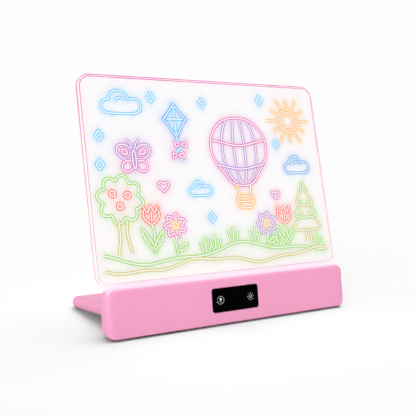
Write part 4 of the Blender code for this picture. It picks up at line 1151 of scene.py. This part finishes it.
def new_material(name):
    """Material, its node tree and its shader."""
    material = bpy.data.materials.new(name)
    material.use_nodes = True
    return material, material.node_tree, material.node_tree.nodes["Principled BSDF"]


def new_light(name, roughness):
    """Material that only gives off light: black and without shine."""
    material, tree, shader = new_material(name)
    set_surface(shader, Base_Color=rgba("000000"), Roughness=roughness, Specular_IOR_Level=0.0,
                Emission_Strength=1.0)
    return material, tree, shader


def add_node(tree, kind, values=None):
    """Add a node: a value is one of its options, an input's value, or an output to link to it."""
    node = tree.nodes.new("ShaderNode" + kind)
    for name, value in (values or {}).items():
        if isinstance(value, bpy.types.NodeSocket):
            tree.links.new(value, node.inputs[name])
        elif isinstance(name, str) and hasattr(node, name):
            setattr(node, name, value)
        else:
            node.inputs[name].default_value = value
    return node


# Soft steps of a material's values, up and down
RISING = {"interpolation_type": "SMOOTHSTEP"}
FALLING = {"interpolation_type": "SMOOTHSTEP", "To Min": 1.0, "To Max": 0.0}


def set_surface(shader, **values):
    """Set the shader's sockets, or link outputs to them; underscores stand for spaces."""
    for name, value in values.items():
        socket = shader.inputs[name.replace("_", " ")]
        if isinstance(value, bpy.types.NodeSocket):
            shader.id_data.links.new(value, socket)
        else:
            socket.default_value = value


def grain(tree, place, scale, strength, distance):
    """Fine bump of a moulded or cast skin, from noise on the object's own coordinates."""
    noise = add_node(tree, "TexNoise", {"Scale": scale, "Detail": 3.0, "Vector": place})
    bump = add_node(tree, "Bump", {"Strength": strength, "Distance": distance,
                                   "Height": noise.outputs["Fac"]})
    return bump.outputs["Normal"]


def drift(tree, place, scale, low, high):
    """Value that drifts between two limits in soft patches."""
    noise = add_node(tree, "TexNoise", {"Scale": scale, "Detail": 2.0, "Vector": place})
    spread = add_node(tree, "MapRange", {"From Min": 0.3, "From Max": 0.7, "To Min": low,
                                         "To Max": high, "Value": noise.outputs["Fac"]})
    return spread.outputs["Result"]


def mottled(tree, place, scale, first, second):
    """Two near colours that blend in soft patches."""
    noise = add_node(tree, "TexNoise", {"Scale": scale, "Detail": 3.0, "Vector": place})
    blend = add_node(tree, "Mix", {"data_type": "RGBA", "Factor": noise.outputs["Fac"],
                                   6: rgba(first), 7: rgba(second)})
    return blend.outputs[2]


def moulded_pink_abs():
    """Satin ABS from a finely eroded mould: a soft wide sheen with a faint grain.

    The real grain is about 0.3 mm; it is drawn at 1.2 mm so that it shows. The colour goes
    grey for light that bounces off it, which keeps the shadows on the floor neutral. It has
    painted shade, darker in the foot's groove and deep pink on the undersides, and a painted
    glow and glint for the panel's light along the bar's top, over near black so that it alone
    shows.
    """
    material, tree, shader = new_material("moulded_pink_abs")
    place = add_node(tree, "TexCoord").outputs["Object"]
    bounced = add_node(tree, "LightPath").outputs["Is Diffuse Ray"]
    groove, painted_spill, underside, light = (
        add_node(tree, "Attribute", {"attribute_name": name}).outputs["Fac"]
        for name in ("groove", "painted_light_spill", "underside", "light"))
    colour = mottled(tree, place, 45.0, "EE9DC1", "F1A3C6")
    # Grey for bounced light; then painted shade in the groove, near black under the painted glow,
    # and painted shade on the undersides
    for cover, other in ((bounced, "B8B4B6"), (groove, "D98FB1"), (painted_spill, "3A2A33"),
                         (underside, "5E2A44")):
        colour = add_node(tree, "Mix", {"data_type": "RGBA", "Factor": cover, 6: colour,
                                        7: rgba(other)}).outputs[2]
    # The emission is painted light: the glow and glint that stand in for the panel's light on the
    # bar
    set_surface(shader, Base_Color=colour, IOR=1.53, Specular_IOR_Level=0.12,
                Roughness=drift(tree, place, 60, 0.42, 0.50),
                Normal=grain(tree, place, 850, 0.12, 0.00003),
                Emission_Color=rgba("FEE3F6"), Emission_Strength=light)
    return material


def cast_clear_acrylic():
    """Polished cast acrylic: almost invisible, with sharp reflections and a pale shadow."""
    material, tree, shader = new_material("cast_clear_acrylic")
    place = add_node(tree, "TexCoord").outputs["Object"]
    set_surface(shader, Base_Color=rgba("FFFDFE"), IOR=1.49, Transmission_Weight=1.0,
                Roughness=drift(tree, place, 30, 0.01, 0.03))
    clear = add_node(tree, "BsdfTransparent", {"Color": rgba("FFF8FB")})
    path = add_node(tree, "LightPath")
    mix = add_node(tree, "MixShader", {"Fac": path.outputs["Is Shadow Ray"],
                                       1: shader.outputs["BSDF"], 2: clear.outputs["BSDF"]})
    tree.links.new(mix.outputs["Shader"], tree.nodes["Material Output"].inputs["Surface"])
    return material


def lit_acrylic_edge():
    """Polished edge where the sheet's light escapes: a painted white highlight on the bevel before
    a pink flat edge.
    """
    material, tree, shader = new_light("lit_acrylic_edge", 0.15)
    across, start, strength = (
        add_node(tree, "Attribute", {"attribute_name": name}).outputs["Fac"]
        for name in ("across", "pink_start", "rim_strength"))
    past = add_node(tree, "Math", {"operation": "SUBTRACT", 0: across, 1: start})
    amount = add_node(tree, "MapRange", {**RISING, "From Min": -0.3, "From Max": 0.3,
                                         "Value": past.outputs["Value"]}).outputs["Result"]
    rear = (RIM_SLANT + RIM_SIDE) * 1000
    before_rear = add_node(tree, "MapRange", {**FALLING, "From Min": rear,
                                              "From Max": rear + 0.8,
                                              "Value": across}).outputs["Result"]
    for factor in (before_rear, strength, uneven_light(tree)):
        amount = add_node(tree, "Math", {"operation": "MULTIPLY", 0: amount,
                                         1: factor}).outputs["Value"]
    # White is the painted highlight on the bevel, pink the light that the sheet gives off
    blend = add_node(tree, "Mix", {"data_type": "RGBA", "Factor": amount, 6: rgba("FFFCFE"),
                                   7: rim_pink(tree)})
    set_surface(shader, Emission_Color=blend.outputs[2])
    return material


def rim_pink(tree):
    """Colour of the rim's light: pink, and peach beside the warm inks low on the sheet."""
    place = add_node(tree, "TexCoord").outputs["Object"]
    height = add_node(tree, "SeparateXYZ", {"Vector": place}).outputs["Z"]
    above = add_node(tree, "MapRange", {**RISING, "From Min": PEACH_START[0],
                                        "From Max": PEACH_START[1], "Value": height})
    below = add_node(tree, "MapRange", {**FALLING, "From Min": PEACH_END[0],
                                        "From Max": PEACH_END[1], "Value": height})
    warm = add_node(tree, "Math", {"operation": "MULTIPLY", 0: above.outputs["Result"],
                                   1: below.outputs["Result"]})
    return add_node(tree, "Mix", {"data_type": "RGBA", "Factor": warm.outputs["Value"],
                                  6: rgba("EE4AAC"), 7: rgba("F25E50")}).outputs[2]


def uneven_light(tree):
    """Light along a rim in longer and shorter bright stretches, as a polished edge shows it."""
    place = add_node(tree, "TexCoord").outputs["Object"]
    noise = add_node(tree, "TexNoise", {"Scale": 42.0, "Detail": 2.0, "Vector": place})
    level = add_node(tree, "MapRange", {"From Min": 0.35, "From Max": 0.6, "To Min": 0.75,
                                        "To Max": 1.0, "Value": noise.outputs["Fac"]})
    return level.outputs["Result"]


def lit_rim_reflection():
    """Painted reflection of the bright edge in the polished face: a fine pink line just inside the
    rim.
    """
    material, tree, shader = new_light("lit_rim_reflection", 0.3)
    across, strength = (add_node(tree, "Attribute", {"attribute_name": name}).outputs["Fac"]
                        for name in ("across", "rim_strength"))
    cover = add_node(tree, "MapRange", {**FALLING, "From Min": 0.35, "From Max": 1.0,
                                        "Value": across}).outputs["Result"]
    for factor in (strength, uneven_light(tree)):
        cover = add_node(tree, "Math", {"operation": "MULTIPLY", 0: cover,
                                        1: factor}).outputs["Value"]
    set_surface(shader, Emission_Color=rim_pink(tree), Alpha=cover)
    return material


def lit_acrylic_margin():
    """Margin of the sheet just over the lamps: an even pale lavender that fades at its top."""
    material, tree, shader = new_light("lit_acrylic_margin", 0.3)
    place = add_node(tree, "TexCoord").outputs["Object"]
    cover = add_node(tree, "Attribute", {"attribute_name": "cover_share"})
    set_surface(shader, Emission_Color=mottled(tree, place, 30, "FEE6F7", "FEEDFA"),
                Alpha=cover.outputs["Fac"])
    return material


def neon_marker_ink():
    """Fluorescent marker on lit acrylic: a white-hot core between coloured edges."""
    material, tree, shader = new_light("neon_marker_ink", 0.6)
    across = add_node(tree, "Attribute", {"attribute_name": "across"}).outputs["Fac"]
    ink = add_node(tree, "Attribute", {"attribute_name": "ink"})
    off_core = add_node(tree, "MapRange", {**RISING, "From Min": 0.24, "From Max": 0.50,
                                           "Value": across})
    cover = add_node(tree, "MapRange", {**FALLING, "From Min": 0.72, "From Max": 1.0,
                                        "To Max": 0.2, "Value": across})
    blend = add_node(tree, "Mix", {"data_type": "RGBA", "Factor": off_core.outputs["Result"],
                                   6: rgba("FFFDFD"), 7: ink.outputs["Color"]})
    set_surface(shader, Emission_Color=blend.outputs[2], Alpha=cover.outputs["Result"])
    return material


def neon_glow_light():
    """Light that spreads in the sheet round each stroke, seen as a soft tint."""
    material, tree, shader = new_light("neon_glow_light", 0.8)
    ink = add_node(tree, "Attribute", {"attribute_name": "ink"})
    strength = add_node(tree, "Attribute", {"attribute_name": "strength"})
    set_surface(shader, Emission_Color=ink.outputs["Color"], Alpha=strength.outputs["Fac"])
    return material


def gloss_black_acrylic():
    """Back-painted black acrylic: deep black under a sharp, slightly wavy gloss."""
    material, tree, shader = new_material("gloss_black_acrylic")
    place = add_node(tree, "TexCoord").outputs["Object"]
    set_surface(shader, Base_Color=rgba("000000"), IOR=1.49, Specular_IOR_Level=0.015,
                Roughness=drift(tree, place, 90, 0.05, 0.09),
                Normal=grain(tree, place, 120, 0.04, 0.00002))
    return material


def white_print_ink():
    """Screen-printed icon ink: flat greyish white with a slightly uneven cover."""
    material, tree, shader = new_material("white_print_ink")
    place = add_node(tree, "TexCoord").outputs["Object"]
    set_surface(shader, Base_Color=mottled(tree, place, 900, "E6E9EC", "F8F9FA"), Roughness=0.55)
    return material


def simple_finish(name, first, second, roughness, scale=300, metallic=0.0, bump=0.05):
    """Plastic, rubber, lacquer or plated metal with a soft mottle, uneven gloss and grain."""
    material, tree, shader = new_material(name)
    place = add_node(tree, "TexCoord").outputs["Object"]
    set_surface(shader, Base_Color=mottled(tree, place, scale / 4, first, second),
                Metallic=metallic, IOR=1.5,
                Roughness=drift(tree, place, scale / 3, roughness * 0.85, roughness * 1.15),
                Normal=grain(tree, place, scale, bump, 0.00005))
    return material


def dress_frame_nodes():
    """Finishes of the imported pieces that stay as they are, by the start of their names."""
    steel = simple_finish("nickel_plated_steel", "B9BBBE", "C6C7C9", 0.24, 600, 1.0, 0.03)
    rubber = simple_finish("moulded_silicone_rubber", "3A3A3D", "434346", 0.75, 700, bump=0.15)
    board = simple_finish("lacquered_glass_fibre_board", "14502E", "1B5E37", 0.35, 900)
    finishes = {
        "base_pad": rubber,
        "foot_pad": rubber,
        "foot_screw": steel,
        "housing_screw": steel,
        "touch_board_screw": steel,
        "control_board_screw": steel,
        "touch_spring": steel,
        "usb_c_socket": steel,
        "hinge_pin": steel,
        "hinge_bush": simple_finish("machined_white_acetal", "E6E6E0", "EFEFEA", 0.3, 400),
        "touch_board": board,
        "control_board": board,
        "led_strip": board,
        "light_channel": simple_finish("white_reflector_polycarbonate", "F2F2F2", "FAFAFA", 0.45),
        "led_": simple_finish("epoxy_lamp_package", "FFF2C8", "FFFBE8", 0.25, 800),
        "battery_cell": simple_finish("shrink_wrapped_cell", "2B5FA8", "3168B3", 0.3, 200),
        "battery_holder": simple_finish("moulded_grey_abs", "50525A", "585A62", 0.5, 500),
        "battery_lead_red": simple_finish("red_pvc_sleeve", "B3201E", "BE2B28", 0.45, 700),
        "battery_lead_black": simple_finish("black_pvc_sleeve", "1C1C1E", "242427", 0.45, 700),
    }
    for name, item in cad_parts.items():
        keys = [key for key in finishes if name.startswith(key)]
        if keys:
            for slot in item.material_slots:
                slot.material = finishes[max(keys, key=len)]


# Stage, light and camera

def make_floor():
    """Pale floor that keeps the shadows and fades into the white round it."""
    corners = [(-3, -3, 0), (3, -3, 0), (3, 3, 0), (-3, 3, 0)]
    floor = add_object("floor", new_mesh("floor", corners, [(0, 1, 2, 3)]))
    material, tree, shader = new_material("matt_white_paper")
    place = add_node(tree, "TexCoord").outputs["Object"]
    length = add_node(tree, "VectorMath", {"operation": "LENGTH", 0: place})
    cover = add_node(tree, "MapRange", {**FALLING, "From Min": FLOOR_FADE[0],
                                        "From Max": FLOOR_FADE[1],
                                        "Value": length.outputs["Value"]})
    set_surface(shader, Base_Color=rgba("FCFCFC"), Roughness=0.9, Specular_IOR_Level=0.0,
                Alpha=cover.outputs["Result"])
    dress(floor, material)


def make_world():
    """Even white surroundings: full white where seen or mirrored, softer as a light."""
    world = bpy.data.worlds.new("white_surroundings")
    world.use_nodes = True
    tree = world.node_tree
    path = add_node(tree, "LightPath")
    seen = path.outputs["Is Camera Ray"]
    for name in ("Is Glossy Ray", "Is Transmission Ray"):
        seen = add_node(tree, "Math", {"operation": "MAXIMUM", 0: seen,
                                       1: path.outputs[name]}).outputs["Value"]
    level = add_node(tree, "MapRange", {"To Min": WORLD_LIGHT, "To Max": 1.0, "Value": seen})
    set_surface(tree.nodes["Background"], Color=rgba("FDFDFD"), Strength=level.outputs["Result"])
    bpy.context.scene.world = world


def add_sun(name, turn, strength, size):
    """Soft distant lamp; turn is its direction in degrees and size its angle in the sky."""
    light = bpy.data.lights.new(name, "SUN")
    light.energy = strength
    light.angle = np.radians(size)
    add_object(name, light).rotation_euler = np.radians(turn)


def make_camera():
    """Camera at the photograph's angle; its focal length is 655.24 of the frame's 416 pixels."""
    camera = bpy.data.cameras.new("photo_angle")
    camera.lens = 655.24 / 416 * camera.sensor_width
    item = add_object("photo_angle", camera)
    item.location = (-0.3722, FRONT_Y - 0.5682, 0.1817)
    item.rotation_euler = np.radians((85.0, 0.0, -30.39))
    bpy.context.scene.camera = item


def dress(piece, *materials):
    """Give a new piece its materials in the order of its faces' indices."""
    for material in materials:
        piece.data.materials.append(material)


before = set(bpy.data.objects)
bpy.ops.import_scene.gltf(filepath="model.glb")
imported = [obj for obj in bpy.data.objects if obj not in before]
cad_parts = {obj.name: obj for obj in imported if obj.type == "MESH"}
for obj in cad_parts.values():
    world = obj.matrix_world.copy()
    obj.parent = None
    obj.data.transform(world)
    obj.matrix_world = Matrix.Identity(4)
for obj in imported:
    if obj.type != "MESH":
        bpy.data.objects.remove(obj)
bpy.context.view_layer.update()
bpy.context.scene.view_settings.view_transform = "Standard"
make_camera()
make_world()
make_floor()
add_sun("overhead_softbox", (-2, 14, 0), 1.92, 55)
add_sun("low_front_fill", (84, 0, -52), 2.30, 40)
dress_frame_nodes()

pink_plastic = moulded_pink_abs()
for moulding in (make_front_housing(), make_rear_housing(), *make_foot_shells()):
    dress(moulding, pink_plastic)
dress(make_touch_window(), gloss_black_acrylic())
dress(make_prints(), white_print_ink())
dress(make_root_band(), lit_acrylic_margin())
dress(make_rim_line(), lit_rim_reflection())
dress(make_panel(), cast_clear_acrylic(), lit_acrylic_edge())
marker_lines = drawing()
dress(make_strokes(marker_lines), neon_marker_ink())
dress(make_glow(marker_lines), neon_glow_light())
